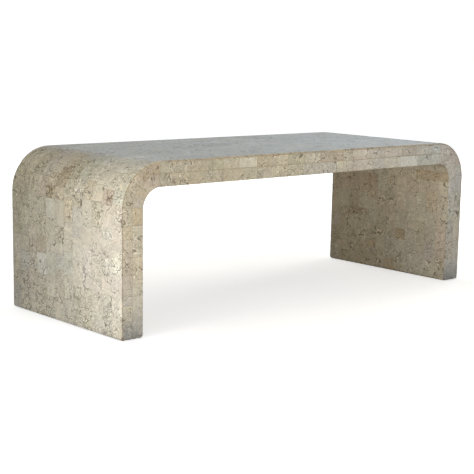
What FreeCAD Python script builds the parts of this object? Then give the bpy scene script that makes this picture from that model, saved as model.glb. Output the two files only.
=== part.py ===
import FreeCAD, Part
import math
import os
import random

import PartDesign
import Sketcher

V = FreeCAD.Vector
doc = FreeCAD.newDocument("waterfall_table")

# ---------------------------------------------------------------- dimensions
# +X is the table's length, +Y runs from the front to the back, +Z is up.
# The origin is on the floor, under the middle of the table.
sheet = doc.addObject("Spreadsheet::Sheet", "dims")
DIMS = [
    ("table_length", 1220.0),
    ("table_depth", 465.0),
    ("table_height", 406.4),
    ("wall", 60.0),            # thickness of the band that makes top and legs
    ("corner_radius", 110.0),  # outer corner, concentric with the inner cove
    ("stone", 4.0),            # stone tile thickness
    ("ply", 12.0),             # flat and bent plywood thickness
    ("foot", 1.5),             # how far the glides hold the legs off the floor
    ("tile_joint", 0.5),       # hairline joint between two tiles
    ("rail", 20.0),            # rail and stile thickness
    ("rib", 18.0),             # cross rib and former thickness
    ("rib_pitch", 163.666667),
    ("housing", 6.0),          # depth of the rib housings in the rails
    ("base_rail", 40.0),
    ("head_rail", 30.0),
    ("tenon", 6.0),            # tenon length
    ("tenon_thk", 8.0),
    ("tenon_tall", 20.0),
    ("mid_place", 70.0),       # middle formers and stiles, each side of the centre
    ("dowel_dia", 8.0),
    ("dowel_long", 40.0),
    ("dowel_short", 30.0),
    ("spline_thk", 3.0),
    ("spline_wide", 10.0),
    ("screw_long", 26.0),
    ("screw_dia", 3.6),
    ("screw_head", 7.6),
    ("glide_dia", 24.0),
    ("glide_thk", 4.0),
    ("glide_place", 150.0),
    ("slack", 0.1),            # clearance of a screw or dowel hole, on the radius
]
for row, (alias, value) in enumerate(DIMS, 1):
    sheet.set("A%d" % row, alias)
    sheet.set("B%d" % row, repr(value))
    sheet.setAlias("B%d" % row, alias)
doc.recompute()
d = {alias: float(getattr(sheet, alias)) for alias, _ in DIMS}

NODES = {}


def ex(text):
    """An expression over the sheet: every alias gets its sheet name in front."""
    for alias in sorted((a for a, _ in DIMS), key=len, reverse=True):
        text = text.replace("@" + alias, "dims." + alias)
    return text


def bind(o, pairs):
    for prop, text in pairs:
        o.setExpression(prop, ex(text))


def node(o, name):
    o.Label = name
    NODES[name] = o
    return o


def box(name, x, y, z, dx, dy, dz):
    """A box with its lowest corner at x, y, z; all six are sheet expressions."""
    o = doc.addObject("Part::Box", name)
    bind(o, [("Length", dx), ("Width", dy), ("Height", dz),
             ("Placement.Base.x", x), ("Placement.Base.y", y), ("Placement.Base.z", z)])
    return o


def rod(name, x, y, z, axis, dia, long):
    """A cylinder that starts at x, y, z and runs along +axis."""
    o = doc.addObject("Part::Cylinder", name)
    turn = {"x": FreeCAD.Rotation(V(0, 1, 0), 90), "y": FreeCAD.Rotation(V(1, 0, 0), -90),
            "z": FreeCAD.Rotation()}[axis]
    o.Placement = FreeCAD.Placement(V(), turn)
    bind(o, [("Radius", "(%s) / 2" % dia), ("Height", long),
             ("Placement.Base.x", x), ("Placement.Base.y", y), ("Placement.Base.z", z)])
    return o


def together(name, items):
    o = doc.addObject("Part::Compound", name)
    o.Links = items
    return o


def cut(name, base, tools):
    o = doc.addObject("Part::Cut", name)
    o.Base = base
    o.Tool = tools[0] if len(tools) == 1 else together(name + "_tools", tools)
    return o


def fuse(name, items):
    o = doc.addObject("Part::MultiFuse", name)
    o.Shapes = items
    return o


def plane(body, role):
    return next(f for f in body.Origin.OriginFeatures if f.Role == role)


# Places along the carcass, as expressions. Left is -X and right is +X.
CX = "(@table_length / 2 - @corner_radius)"      # corner centre
CZ = "(@table_height - @corner_radius)"
HD = "(@table_depth / 2 - @stone)"               # half the carcass depth
CAV = "(@wall - 2 * @stone - 2 * @ply)"          # the hollow between the plies
R_OUT = "(@corner_radius - @stone)"              # outer face of the outer bent ply
R_OUTI = "(@corner_radius - @stone - @ply)"
R_INO = "(@corner_radius - @wall + @stone + @ply)"
R_IN = "(@corner_radius - @wall + @stone)"       # inner face of the inner bent ply
SIDES = (("left", -1), ("right", 1))


def leg_x(s, o0, o1):
    """Low X of a leg layer between offsets o0 < o1 inwards from the outer leg face."""
    if s < 0:
        return "-@table_length / 2 + (%s)" % o0
    return "@table_length / 2 - (%s)" % o1


# ---------------------------------------------------------------- fasteners
# One countersunk wood screw, turned: head face at z = 0, tip at -screw_long.
screw = doc.addObject("PartDesign::Body", "screw_pattern_piece")
sk = screw.newObject("Sketcher::SketchObject", "screw_profile")
sk.AttachmentSupport = [(plane(screw, "XZ_Plane"), "")]
sk.MapMode = "FlatFace"
pts = [(0, 0), (3.8, 0), (1.8, -2.6), (1.8, -22), (0, -26)]
for i in range(5):
    a, b = pts[i], pts[(i + 1) % 5]
    sk.addGeometry(Part.LineSegment(V(a[0], a[1], 0), V(b[0], b[1], 0)), False)
for i in range(5):
    sk.addConstraint(Sketcher.Constraint("Coincident", i, 2, (i + 1) % 5, 1))
sk.addConstraint(Sketcher.Constraint("Coincident", 0, 1, -1, 1))
sk.addConstraint(Sketcher.Constraint("Horizontal", 0))
sk.addConstraint(Sketcher.Constraint("Vertical", 2))
sk.addConstraint(Sketcher.Constraint("Vertical", 4))
for name, con, text in (
    ("head", Sketcher.Constraint("DistanceX", 0, 1, 0, 2, 3.8), "@screw_head / 2"),
    ("shank", Sketcher.Constraint("DistanceX", -1, 1, 2, 1, 1.8), "@screw_dia / 2"),
    ("sink", Sketcher.Constraint("DistanceY", 2, 1, 0, 2, 2.6), "(@screw_head - @screw_dia) * 0.65"),
    ("long", Sketcher.Constraint("DistanceY", 4, 1, 4, 2, 26), "@screw_long"),
    ("point", Sketcher.Constraint("DistanceY", 3, 2, 3, 1, 4), "@screw_dia * 1.1"),
):
    at = sk.addConstraint(con)
    sk.renameConstraint(at, name)
    sk.setExpression("Constraints." + name, ex(text))
rev = screw.newObject("PartDesign::Revolution", "screw_turned")
rev.Profile = sk
rev.ReferenceAxis = (sk, ["V_Axis"])
rev.Angle = 360
doc.recompute()
SCREW = screw.Shape.copy()
SCREW.Placement = FreeCAD.Placement()


def screw_hole():
    """The room a screw takes: the same profile with the slack round it."""
    r1, r2, k = d["screw_head"] / 2 + d["slack"], d["screw_dia"] / 2 + d["slack"], 0.65
    sink = (d["screw_head"] - d["screw_dia"]) * k
    prof = Part.Wire(Part.makePolygon([V(0, 0, 0.5), V(r1, 0, 0.5), V(r1, 0, 0), V(r2, 0, -sink),
                                       V(r2, 0, -d["screw_long"] - 0.2),
                                       V(0, 0, -d["screw_long"] - 0.2), V(0, 0, 0.5)]).Edges)
    return Part.Face(prof).revolve(V(), V(0, 0, 1), 360)


HOLE = screw_hole()


def aim(shape, pos, out):
    """Puts a z-turned shape at pos with its head looking along out."""
    c = shape.copy()
    c.Placement = FreeCAD.Placement(V(*pos), FreeCAD.Rotation(V(0, 0, 1), V(*out)))
    return c


def screws(name, places):
    o = doc.addObject("Part::Feature", name)
    o.Shape = Part.makeCompound([aim(SCREW, p, n) for p, n in places])
    node(o, name)
    h = doc.addObject("Part::Feature", name + "_holes")
    h.Shape = Part.makeCompound([aim(HOLE, p, n) for p, n in places])
    return h


hl, hd, ht = d["table_length"] / 2, d["table_depth"] / 2, d["table_height"]
cx, cz = hl - d["corner_radius"], ht - d["corner_radius"]
edge_y = hd - d["stone"] - d["rail"] / 2
z_up, z_low = ht - d["stone"], ht - d["wall"] + d["stone"]
top_places = [((x, y, z_up), (0, 0, 1)) for x in (-410, -245, -80, 80, 245, 410)
              for y in (-edge_y, edge_y)]
low_places = [((x, y, z_low), (0, 0, -1)) for x in (-370, -205, -40, 40, 205, 370)
              for y in (-edge_y, edge_y)]
top_holes = screws("top_panel_screws", top_places + low_places)
leg_holes = {}
for side, s in SIDES:
    places = [((s * (hl - d["stone"]), y, z), (s, 0, 0)) for z in (70, 230)
              for y in (-edge_y, edge_y)]
    places += [((s * (hl - d["wall"] + d["stone"]), y, z), (-s, 0, 0)) for z in (110, 190)
               for y in (-edge_y, edge_y)]
    leg_holes[side] = screws(side + "_leg_panel_screws", places)
gx = hl - d["wall"] / 2
glide_spots = [(s * gx, y) for s in (-1, 1) for y in (-d["glide_place"], d["glide_place"])]
glide_holes = screws("glide_screws", [((x, y, 1.0), (0, 0, -1)) for x, y in glide_spots])

# Glides: turned nylon discs let into the base rails, with a countersunk hole.
glide = doc.addObject("PartDesign::Body", "glide_pattern_piece")
sk = glide.newObject("Sketcher::SketchObject", "glide_profile")
sk.AttachmentSupport = [(plane(glide, "XZ_Plane"), "")]
sk.MapMode = "FlatFace"
pts = [(4.1, 0), (11.0, 0), (12.0, 1.0), (12.0, 4.0), (4.1, 4.0)]
for i in range(5):
    a, b = pts[i], pts[(i + 1) % 5]
    sk.addGeometry(Part.LineSegment(V(a[0], a[1], 0), V(b[0], b[1], 0)), False)
for i in range(5):
    sk.addConstraint(Sketcher.Constraint("Coincident", i, 2, (i + 1) % 5, 1))
sk.addConstraint(Sketcher.Constraint("Horizontal", 0))
sk.addConstraint(Sketcher.Constraint("Horizontal", 3))
sk.addConstraint(Sketcher.Constraint("Vertical", 2))
sk.addConstraint(Sketcher.Constraint("Vertical", 4))
sk.addConstraint(Sketcher.Constraint("PointOnObject", 0, 1, -1))
for name, con, text in (
    ("eye", Sketcher.Constraint("DistanceX", -1, 1, 0, 1, 4.1), "@screw_head / 2 + 3 * @slack"),
    ("rim", Sketcher.Constraint("DistanceX", -1, 1, 2, 1, 12), "@glide_dia / 2"),
    ("ease_x", Sketcher.Constraint("DistanceX", 0, 2, 1, 2, 1), "1 * 1"),
    ("ease_y", Sketcher.Constraint("DistanceY", 0, 2, 1, 2, 1), "1 * 1"),
    ("thick", Sketcher.Constraint("DistanceY", 0, 1, 4, 1, 4), "@glide_thk"),
):
    at = sk.addConstraint(con)
    sk.renameConstraint(at, name)
    sk.setExpression("Constraints." + name, ex(text))
rev = glide.newObject("PartDesign::Revolution", "glide_turned")
rev.Profile = sk
rev.ReferenceAxis = (sk, ["V_Axis"])
rev.Angle = 360
doc.recompute()
GLIDE = glide.Shape.copy()
GLIDE.Placement = FreeCAD.Placement()
# the web that the screw head bears on, above its recess
web = Part.makeCylinder(d["screw_head"] / 2 + 3 * d["slack"], d["glide_thk"] - 1.0, V(0, 0, 1.0))
web = web.cut(aim(HOLE, (0, 0, 1.0), (0, 0, -1)))
GLIDE = GLIDE.fuse(web).removeSplitter()
o = doc.addObject("Part::Feature", "glides")
o.Shape = Part.makeCompound([aim(GLIDE, (x, y, 0), (0, 0, 1)) for x, y in glide_spots])
node(o, "glides")

# ---------------------------------------------------------------- splines
# Loose tongues across each butt joint between flat and bent plywood.
U_MID = "(@table_height - @stone - @ply / 2)"
L_MID = "(@table_height - @wall + @stone + @ply / 2)"
spline_rooms = {}
for side, s in SIDES:
    group, rooms = [], []
    for where, zmid in (("upper", U_MID), ("lower", L_MID)):
        args = ("%d * %s - @spline_wide / 2" % (s, CX), "-" + HD, "%s - @spline_thk / 2" % zmid,
                "@spline_wide", "2 * " + HD, "@spline_thk")
        group.append(box("%s_%s_spline" % (side, where), *args))
    for where, mid in (("outer", "@stone + @ply / 2"), ("inner", "@wall - @stone - @ply / 2")):
        args = (leg_x(s, "%s - @spline_thk / 2" % mid, "%s + @spline_thk / 2" % mid), "-" + HD,
                "%s - @spline_wide / 2" % CZ, "@spline_thk", "2 * " + HD, "@spline_wide")
        group.append(box("%s_%s_spline" % (side, where), *args))
    node(together(side + "_corner_splines", group), side + "_corner_splines")
    spline_rooms[side] = group

# ---------------------------------------------------------------- dowels
MID_Z = "(@table_height - @wall / 2)"
dowel_rooms = {}
for side, s in SIDES:
    group, rooms = [], []
    for k, (y, size) in enumerate((("-%s + @rib / 2" % HD, "@dowel_long"), ("%s - @rib / 2" % HD, "@dowel_long"),
                                   ("-@mid_place", "@dowel_short"), ("@mid_place", "@dowel_short"))):
        back = "%s / 2" % size if size == "@dowel_long" else "@dowel_short / 2 - 1"
        # along X, from the top frame into the former
        x = "%s - (%s)" % (CX, back) if s > 0 else "-%s + (%s) - %s" % (CX, back, size)
        z = "%s - (%s)" % (CZ, back)
        lx = leg_x(s, "@wall / 2", "@wall / 2")
        group.append(rod("%s_dowel_x%d" % (side, k), x, y, MID_Z, "x", "@dowel_dia", size))
        group.append(rod("%s_dowel_z%d" % (side, k), lx, y, z, "z", "@dowel_dia", size))
        wide = "@dowel_dia + 2 * @slack"
        rooms.append(rod("%s_dowel_room_x%d" % (side, k), x + " - 0.2", y, MID_Z, "x", wide, size + " + 0.4"))
        rooms.append(rod("%s_dowel_room_z%d" % (side, k), lx, y, z + " - 0.2", "z", wide, size + " + 0.4"))
    node(together(side + "_corner_dowels", group), side + "_corner_dowels")
    dowel_rooms[side] = rooms
all_dowel_rooms = dowel_rooms["left"] + dowel_rooms["right"]

# ---------------------------------------------------------------- top frame
FULL_X = "2 * " + CX
for name, z, zmid in (("top_upper_panel", "@table_height - @stone - @ply", U_MID),
                      ("top_lower_panel", "@table_height - @wall + @stone", L_MID)):
    blank = box(name + "_blank", "-" + CX, "-" + HD, z, FULL_X, "2 * " + HD, "@ply")
    grooves = []
    for side, s in SIDES:
        grooves.append(box("%s_groove_%s" % (name, side), "%d * %s - @spline_wide / 2" % (s, CX),
                           "-%s - 1" % HD, "%s - @spline_thk / 2" % zmid, "@spline_wide",
                           "2 * %s + 2" % HD, "@spline_thk"))
    node(cut(name, blank, grooves + [top_holes]), name)

RIBS = ["%g * @rib_pitch" % k for k in range(-3, 4)]
CAV_Z = "@table_height - @wall + @stone + @ply"


def rib_room(name, k, y, dy):
    return box(name, "%g * @rib_pitch - @rib / 2" % k, y, CAV_Z, "@rib", dy, CAV)


for name, y, hy in (("top_front_rail", "-" + HD, "-%s + @rail - @housing" % HD),
                    ("top_back_rail", "%s - @rail" % HD, "%s - @rail" % HD)):
    blank = box(name + "_blank", "-" + CX, y, CAV_Z, FULL_X, "@rail", CAV)
    rooms = [rib_room("%s_housing%d" % (name, k + 3), k, hy, "@housing") for k in range(-3, 4)]
    node(cut(name, blank, rooms + [top_holes] + all_dowel_rooms), name)

ribs = [rib_room("rib%d" % (k + 3), k, "-%s + @rail - @housing" % HD,
                 "2 * %s - 2 * @rail + 2 * @housing" % HD) for k in range(-3, 4)]
node(cut("top_cross_ribs", together("rib_blanks", ribs), all_dowel_rooms), "top_cross_ribs")

# ---------------------------------------------------------------- corners
for side, s in SIDES:
    for which, r0, r1 in (("outer", R_OUTI, R_OUT), ("inner", R_IN, R_INO)):
        name = "%s_corner_%s_ply" % (side, which)
        body = doc.addObject("PartDesign::Body", name + "_bent")
        sk = body.newObject("Sketcher::SketchObject", name + "_ring")
        sk.AttachmentSupport = [(plane(body, "XZ_Plane"), "")]
        sk.MapMode = "FlatFace"
        n0 = d["corner_radius"] - d["stone"] - (d["ply"] if which == "outer" else d["wall"] - 2 * d["stone"])
        n1 = n0 + d["ply"]
        a0, a1 = (math.pi / 2, math.pi) if s < 0 else (0.0, math.pi / 2)
        c = V(s * cx, cz, 0)
        out, inn = (Part.ArcOfCircle(Part.Circle(c, V(0, 0, 1), r), a0, a1) for r in (n1, n0))
        sk.addGeometry(out, False)
        sk.addGeometry(inn, False)
        sk.addGeometry(Part.LineSegment(out.StartPoint, inn.StartPoint), False)
        sk.addGeometry(Part.LineSegment(out.EndPoint, inn.EndPoint), False)
        for con in (
            ("Coincident", 0, 3, 1, 3), ("Coincident", 0, 1, 2, 1), ("Coincident", 1, 1, 2, 2),
            ("Coincident", 0, 2, 3, 1), ("Coincident", 1, 2, 3, 2),
        ):
            sk.addConstraint(Sketcher.Constraint(*con))
        start, end = (("Vertical", "Horizontal") if s < 0 else ("Horizontal", "Vertical"))
        sk.addConstraint(Sketcher.Constraint(start, 0, 3, 0, 1))
        sk.addConstraint(Sketcher.Constraint(end, 0, 3, 0, 2))
        sk.addConstraint(Sketcher.Constraint(start, 2))
        sk.addConstraint(Sketcher.Constraint(end, 3))
        across = (Sketcher.Constraint("DistanceX", 0, 3, -1, 1, cx) if s < 0
                  else Sketcher.Constraint("DistanceX", -1, 1, 0, 3, cx))
        for cname, con, text in (
            ("out_radius", Sketcher.Constraint("Radius", 0, n1), r1),
            ("in_radius", Sketcher.Constraint("Radius", 1, n0), r0),
            ("across", across, CX),
            ("up", Sketcher.Constraint("DistanceY", -1, 1, 0, 3, cz), CZ),
        ):
            at = sk.addConstraint(con)
            sk.renameConstraint(at, cname)
            sk.setExpression("Constraints." + cname, ex(text))
        pad = body.newObject("PartDesign::Pad", name + "_pad")
        pad.Profile = sk
        pad.SideType = "Symmetric"
        pad.setExpression("Length", ex("2 * " + HD))
        grooves = []
        zmid = U_MID if which == "outer" else L_MID
        mid = "@stone + @ply / 2" if which == "outer" else "@wall - @stone - @ply / 2"
        grooves.append(box(name + "_groove_top", "%d * %s - @spline_wide / 2" % (s, CX), "-%s - 1" % HD,
                           "%s - @spline_thk / 2" % zmid, "@spline_wide", "2 * %s + 2" % HD, "@spline_thk"))
        grooves.append(box(name + "_groove_leg",
                           leg_x(s, "%s - @spline_thk / 2" % mid, "%s + @spline_thk / 2" % mid),
                           "-%s - 1" % HD, "%s - @spline_wide / 2" % CZ, "@spline_thk",
                           "2 * %s + 2" % HD, "@spline_wide"))
        node(cut(name, body, grooves), name)

    # quarter-ring formers between the two bent plies
    m = FreeCAD.Matrix()
    # local X, Y, Z go to (out, up, -Y) on the right and (up, out, -Y) on the left
    cols = ((V(1, 0, 0), V(0, 0, 1)) if s > 0 else (V(0, 0, 1), V(-1, 0, 0)))
    z_ax = cols[0].cross(cols[1])
    m.A11, m.A21, m.A31 = cols[0].x, cols[0].y, cols[0].z
    m.A12, m.A22, m.A32 = cols[1].x, cols[1].y, cols[1].z
    m.A13, m.A23, m.A33 = z_ax.x, z_ax.y, z_ax.z
    turn = FreeCAD.Rotation(m)
    for kind, places in (("end", ("-%s + @rib" % HD, HD)),
                         ("mid", ("-@mid_place + @rib / 2", "@mid_place + @rib / 2"))):
        rings = []
        for k, y in enumerate(places):
            discs = []
            for r, long, lift in ((R_OUTI, "@rib", "0"), (R_INO, "@rib + 2", "1")):
                q = doc.addObject("Part::Cylinder", "%s_%s_disc%d" % (side, kind, k))
                q.Placement = FreeCAD.Placement(V(), turn)
                q.Angle = 90 if lift == "0" else 360
                bind(q, [("Radius", r), ("Height", long),
                         ("Placement.Base.x", "%d * %s" % (s, CX)),
                         ("Placement.Base.y", "%s + %s" % (y, lift)), ("Placement.Base.z", CZ)])
                discs.append(q)
            rings.append(cut("%s_%s_ring%d" % (side, kind, k), discs[0], [discs[1]]))
        name = "%s_corner_%s_formers" % (side, kind)
        node(cut(name, together(name + "_blanks", rings), dowel_rooms[side]), name)

# ---------------------------------------------------------------- legs
LEG_Z = CZ + " - @foot"
for side, s in SIDES:
    for which, o0, o1 in (("outer", "@stone", "@stone + @ply"),
                          ("inner", "@wall - @stone - @ply", "@wall - @stone")):
        name = "%s_leg_%s_panel" % (side, which)
        blank = box(name + "_blank", leg_x(s, o0, o1), "-" + HD, "@foot", "@ply", "2 * " + HD, LEG_Z)
        mid = "(%s + %s) / 2" % (o0, o1)
        groove = box(name + "_groove", leg_x(s, mid + " - @spline_thk / 2", mid + " + @spline_thk / 2"),
                     "-%s - 1" % HD, "%s - @spline_wide / 2" % CZ, "@spline_thk", "2 * %s + 2" % HD,
                     "@spline_wide")
        node(cut(name, blank, [groove, leg_holes[side]]), name)

    cav_x = leg_x(s, "@stone + @ply", "@wall - @stone - @ply")
    ten_x = leg_x(s, "@wall / 2 - @tenon_thk / 2", "@wall / 2 + @tenon_thk / 2")
    inner_y = "(%s - @rail)" % HD
    tenons = {}
    for which, z, tall in (("base", "@foot", "@base_rail"), ("head", CZ + " - @head_rail", "@head_rail")):
        tz = "%s + (%s - @tenon_tall) / 2" % (z, tall)
        core = box("%s_%s_core" % (side, which), cav_x, "-" + inner_y, z, CAV, "2 * " + inner_y, tall)
        tongue = box("%s_%s_tongue" % (side, which), ten_x, "-%s - @tenon" % inner_y, tz, "@tenon_thk",
                     "2 * %s + 2 * @tenon" % inner_y, "@tenon_tall")
        tenons[which] = (ten_x, tz)
        name = "%s_leg_%s_rail" % (side, which)
        blank = fuse(name + "_blank", [core, tongue])
        tools = list(dowel_rooms[side]) if which == "head" else [glide_holes]
        if which == "base":
            for k, (x, y) in enumerate(p for p in glide_spots if p[0] * s > 0):
                tools.append(rod("%s_glide_room%d" % (side, k), leg_x(s, "@wall / 2", "@wall / 2"),
                                 "%s@glide_place" % ("-" if y < 0 else ""), "@foot - 1", "z",
                                 "@glide_dia + 2 * @slack", "@glide_thk - @foot + 1"))
        node(cut(name, blank, tools), name)

    for which, y in (("front", "-" + HD), ("back", "%s - @rail" % HD)):
        name = "%s_leg_%s_stile" % (side, which)
        blank = box(name + "_blank", cav_x, y, "@foot", CAV, "@rail", LEG_Z)
        my = "-%s - @tenon" % inner_y if which == "front" else inner_y
        rooms = [box("%s_mortise_%s" % (name, w), tenons[w][0], my, tenons[w][1], "@tenon_thk", "@tenon",
                     "@tenon_tall") for w in ("base", "head")]
        node(cut(name, blank, rooms + [leg_holes[side]] + dowel_rooms[side]), name)

    mids = [box("%s_mid_stile%d" % (side, k), cav_x, y, "@foot + @base_rail", CAV, "@rib",
                "%s - @base_rail - @head_rail" % LEG_Z)
            for k, y in enumerate(("-@mid_place - @rib / 2", "@mid_place - @rib / 2"))]
    node(together(side + "_leg_mid_stiles", mids), side + "_leg_mid_stiles")

# ---------------------------------------------------------------- stone tiles
# A tile is a cell of the band: t runs along the band from the left foot over the
# top to the right foot, o is the offset inwards from the outer face, y is depth.
# Round a corner t is measured at radius r_ref, and the joints are radial.
LEG_T = cz - d["foot"]
TOP_T = 2 * cx
ROUND = d["corner_radius"]


class Band:
    def __init__(self, r_ref):
        self.arc = r_ref * math.pi / 2
        self.marks = [0.0, LEG_T, LEG_T + self.arc, LEG_T + self.arc + TOP_T,
                      LEG_T + 2 * self.arc + TOP_T, 2 * LEG_T + 2 * self.arc + TOP_T]

    def point(self, t, o):
        m = self.marks
        if t <= m[1]:
            return V(-hl + o, 0, d["foot"] + t)
        if t <= m[2]:
            a = math.pi - (t - m[1]) / self.arc * math.pi / 2
            return V(-cx + (ROUND - o) * math.cos(a), 0, cz + (ROUND - o) * math.sin(a))
        if t <= m[3]:
            return V(-cx + t - m[2], 0, ht - o)
        if t <= m[4]:
            a = math.pi / 2 - (t - m[3]) / self.arc * math.pi / 2
            return V(cx + (ROUND - o) * math.cos(a), 0, cz + (ROUND - o) * math.sin(a))
        return V(hl - o, 0, cz - (t - m[4]))

    def edge(self, t0, t1, o):
        """The edges of the band's line at offset o from t0 to t1."""
        cuts = [t0] + [m for m in self.marks[1:5] if t0 + 0.05 < m < t1 - 0.05] + [t1]
        out = []
        for a, b in zip(cuts, cuts[1:]):
            mid = (a + b) / 2
            bent = self.marks[1] < mid < self.marks[2] or self.marks[3] < mid < self.marks[4]
            p, q = self.point(a, o), self.point(b, o)
            if bent:
                out.append(Part.Arc(p, self.point(mid, o), q).toShape())
            else:
                out.append(Part.LineSegment(p, q).toShape())
        return out

    def cell(self, t0, t1, o0, o1, y0, y1):
        outer, inner = self.edge(t0, t1, o0), self.edge(t0, t1, o1)
        ends = [Part.LineSegment(self.point(t, o0), self.point(t, o1)).toShape() for t in (t0, t1)]
        wire = Part.Wire(Part.__sortEdges__(outer + inner + ends))
        face = Part.Face(wire)
        face.translate(V(0, y0, 0))
        return face.extrude(V(0, y1 - y0, 0))


def snap(t, marks):
    """Keeps a joint off the tangent lines by a little, so that no sliver face is left."""
    for m in marks[1:5]:
        if abs(t - m) < 1.0:
            return m
    return t


def breaks(total, fixed, rng, low, high):
    """Joint places along one row of tiles: the fixed ones first, then random lengths."""
    out = list(fixed) if fixed else [0.0]
    while True:
        step = rng.uniform(low, high)
        if total - (out[-1] + step) < low * 0.75:
            break
        out.append(out[-1] + step)
    if total - out[-1] > high * 1.15:
        out.append((out[-1] + total) / 2)
    return out + [total]


GROUPS = {}
J = d["tile_joint"] / 2


def place(group, shape):
    GROUPS.setdefault(group, []).append(shape)


def zone(band, t, names):
    m = band.marks
    k = 0 if t < m[1] else 1 if t < m[2] else 2 if t < m[3] else 3 if t < m[4] else 4
    return names[k]


def lay(band, total, rows, y_marks, o0, o1, names):
    """Lays rows of tiles along the band; row k lies between y_marks k and k + 1."""
    for (y0, y1), row in zip(zip(y_marks, y_marks[1:]), rows):
        row = [snap(t, band.marks) for t in row]
        for a, b in zip(row, row[1:]):
            ja = 0.0 if a <= 0.0 else J
            jb = 0.0 if b >= total else J
            ya = y0 + (0.0 if y0 == y_marks[0] else J)
            yb = y1 - (0.0 if y1 == y_marks[-1] else J)
            place(zone(band, (a + b) / 2, names), band.cell(a + ja, b - jb, o0, o1, ya, yb))


rng = random.Random(4465)

# Outer skin: twelve rows across the depth, front to back. The joints of the left
# leg and corner are set out by hand, and the rest follow with uneven lengths.
OUTER_Y = [0, 38, 78, 116, 155, 195, 232, 273, 310, 351, 389, 427, 465]
OUTER_T = [
    [0, 44, 97, 150, 205, 262, 310, 343, 402],
    [0, 40, 98, 142, 185, 228, 253, 305, 341, 388],
    [0, 50, 90, 122, 183, 250, 310, 350, 421],
    [0, 46, 100, 140, 205, 246, 310, 355, 400],
    [0, 52, 96, 160, 215, 287, 323, 357, 440],
    [0, 60, 118, 176, 205, 247, 305, 352, 415],
    [0, 45, 128, 165, 192, 232, 297, 327, 380, 436],
    [0, 55, 107, 168, 205, 248, 296, 327, 360, 428],
    [0, 52, 105, 157, 200, 252, 296, 350, 395],
    [0, 60, 112, 152, 185, 225, 268, 300, 350, 386, 445],
    [0, 48, 100, 150, 190, 218, 265, 310, 352, 410],
    [0, 65, 120, 190, 215, 270, 338, 392, 438],
]
outer_band = Band(ROUND)
total = outer_band.marks[5]
rows = [breaks(total, fixed, rng, 52.0, 104.0) for fixed in OUTER_T]
lay(outer_band, total, rows, [y * d["table_depth"] / 465.0 - hd for y in OUTER_Y], 0.0, d["stone"],
    ("left_leg_outer_stone", "left_corner_stone", "top_stone", "right_corner_stone",
     "right_leg_outer_stone"))

# Inner skin: the same rows on the legs, two long strips in each cove, and wider
# tiles under the top. It ends behind the edge tiles at the front and the back.
ih = hd - d["stone"]
INNER_Y = [0, 36, 78, 115, 153, 192, 231, 269, 308, 347, 385, 423, 457]
INNER_T = [
    [0, 60, 118, 175, 245],
    [0, 50, 105, 197, 262],
    [0, 66, 130, 165, 250],
    [0, 58, 136, 188, 246],
    [0, 45, 100, 132, 190, 245],
    [0, 38, 108, 150, 215, 262],
    [0, 55, 120, 195, 240],
    [0, 60, 85, 136, 178, 209, 235],
    [0, 70, 156, 178, 226],
    [0, 60, 110, 156, 180, 228],
    [0, 82, 156, 176, 232],
    [0, 50, 110, 156, 176, 230],
]
r_cove = d["corner_radius"] - d["wall"]
inner_band = Band(r_cove)
m = inner_band.marks
o0, o1 = d["wall"] - d["stone"], d["wall"]
leg_top = LEG_T - 6.0
inner_y = [y * (2 * ih) / 457.0 - ih for y in INNER_Y]
names = ("left_leg_inner_stone", "left_cove_stone", "underside_stone", "right_cove_stone",
         "right_leg_inner_stone")
# the legs: rows end 6 mm under the bend
for right in (False, True):
    for k, row in enumerate(INNER_T):
        row = list(row) if right else breaks(leg_top, None, rng, 46.0, 92.0)[:-1]
        row = [t for t in row if t < leg_top - 20] + [leg_top]
        ya = inner_y[k] + (0.0 if k == 0 else J)
        yb = inner_y[k + 1] - (0.0 if k == len(INNER_T) - 1 else J)
        for a, b in zip(row, row[1:]):
            a2, b2 = a + (J if a > 0 else 0.0), b - J
            if right:
                a2, b2 = m[5] - b2, m[5] - a2
            place(names[4] if right else names[0], inner_band.cell(a2, b2, o0, o1, ya, yb))
# the coves: a narrow strip and a wide one, each cut into long tiles
strip = 30.0
cove_end = 12.0
for right in (False, True):
    lines = [leg_top, leg_top + strip, m[2] + cove_end]
    for a, b in zip(lines, lines[1:]):
        ys = [-ih] + sorted(-ih + 2 * ih * (k + rng.uniform(-0.18, 0.18)) / 4.0 for k in (1, 2, 3)) + [ih]
        for y0, y1 in zip(ys, ys[1:]):
            ya = y0 + (0.0 if y0 == -ih else J)
            yb = y1 - (0.0 if y1 == ih else J)
            t0, t1 = a + J, b - J
            if right:
                t0, t1 = m[5] - t1, m[5] - t0
            place(names[3] if right else names[1], inner_band.cell(t0, t1, o0, o1, ya, yb))
# the underside: six rows
under_y = [-ih + 2 * ih * k / 6.0 for k in range(7)]
u0, u1 = m[2] + cove_end, m[3] - cove_end
for k in range(6):
    row = [u0 + t for t in breaks(u1 - u0, None, rng, 78.0, 132.0)]
    ya = under_y[k] + (0.0 if k == 0 else J)
    yb = under_y[k + 1] - (0.0 if k == 5 else J)
    for a, b in zip(row, row[1:]):
        place(names[2], inner_band.cell(a + J, b - J, o0, o1, ya, yb))

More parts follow.
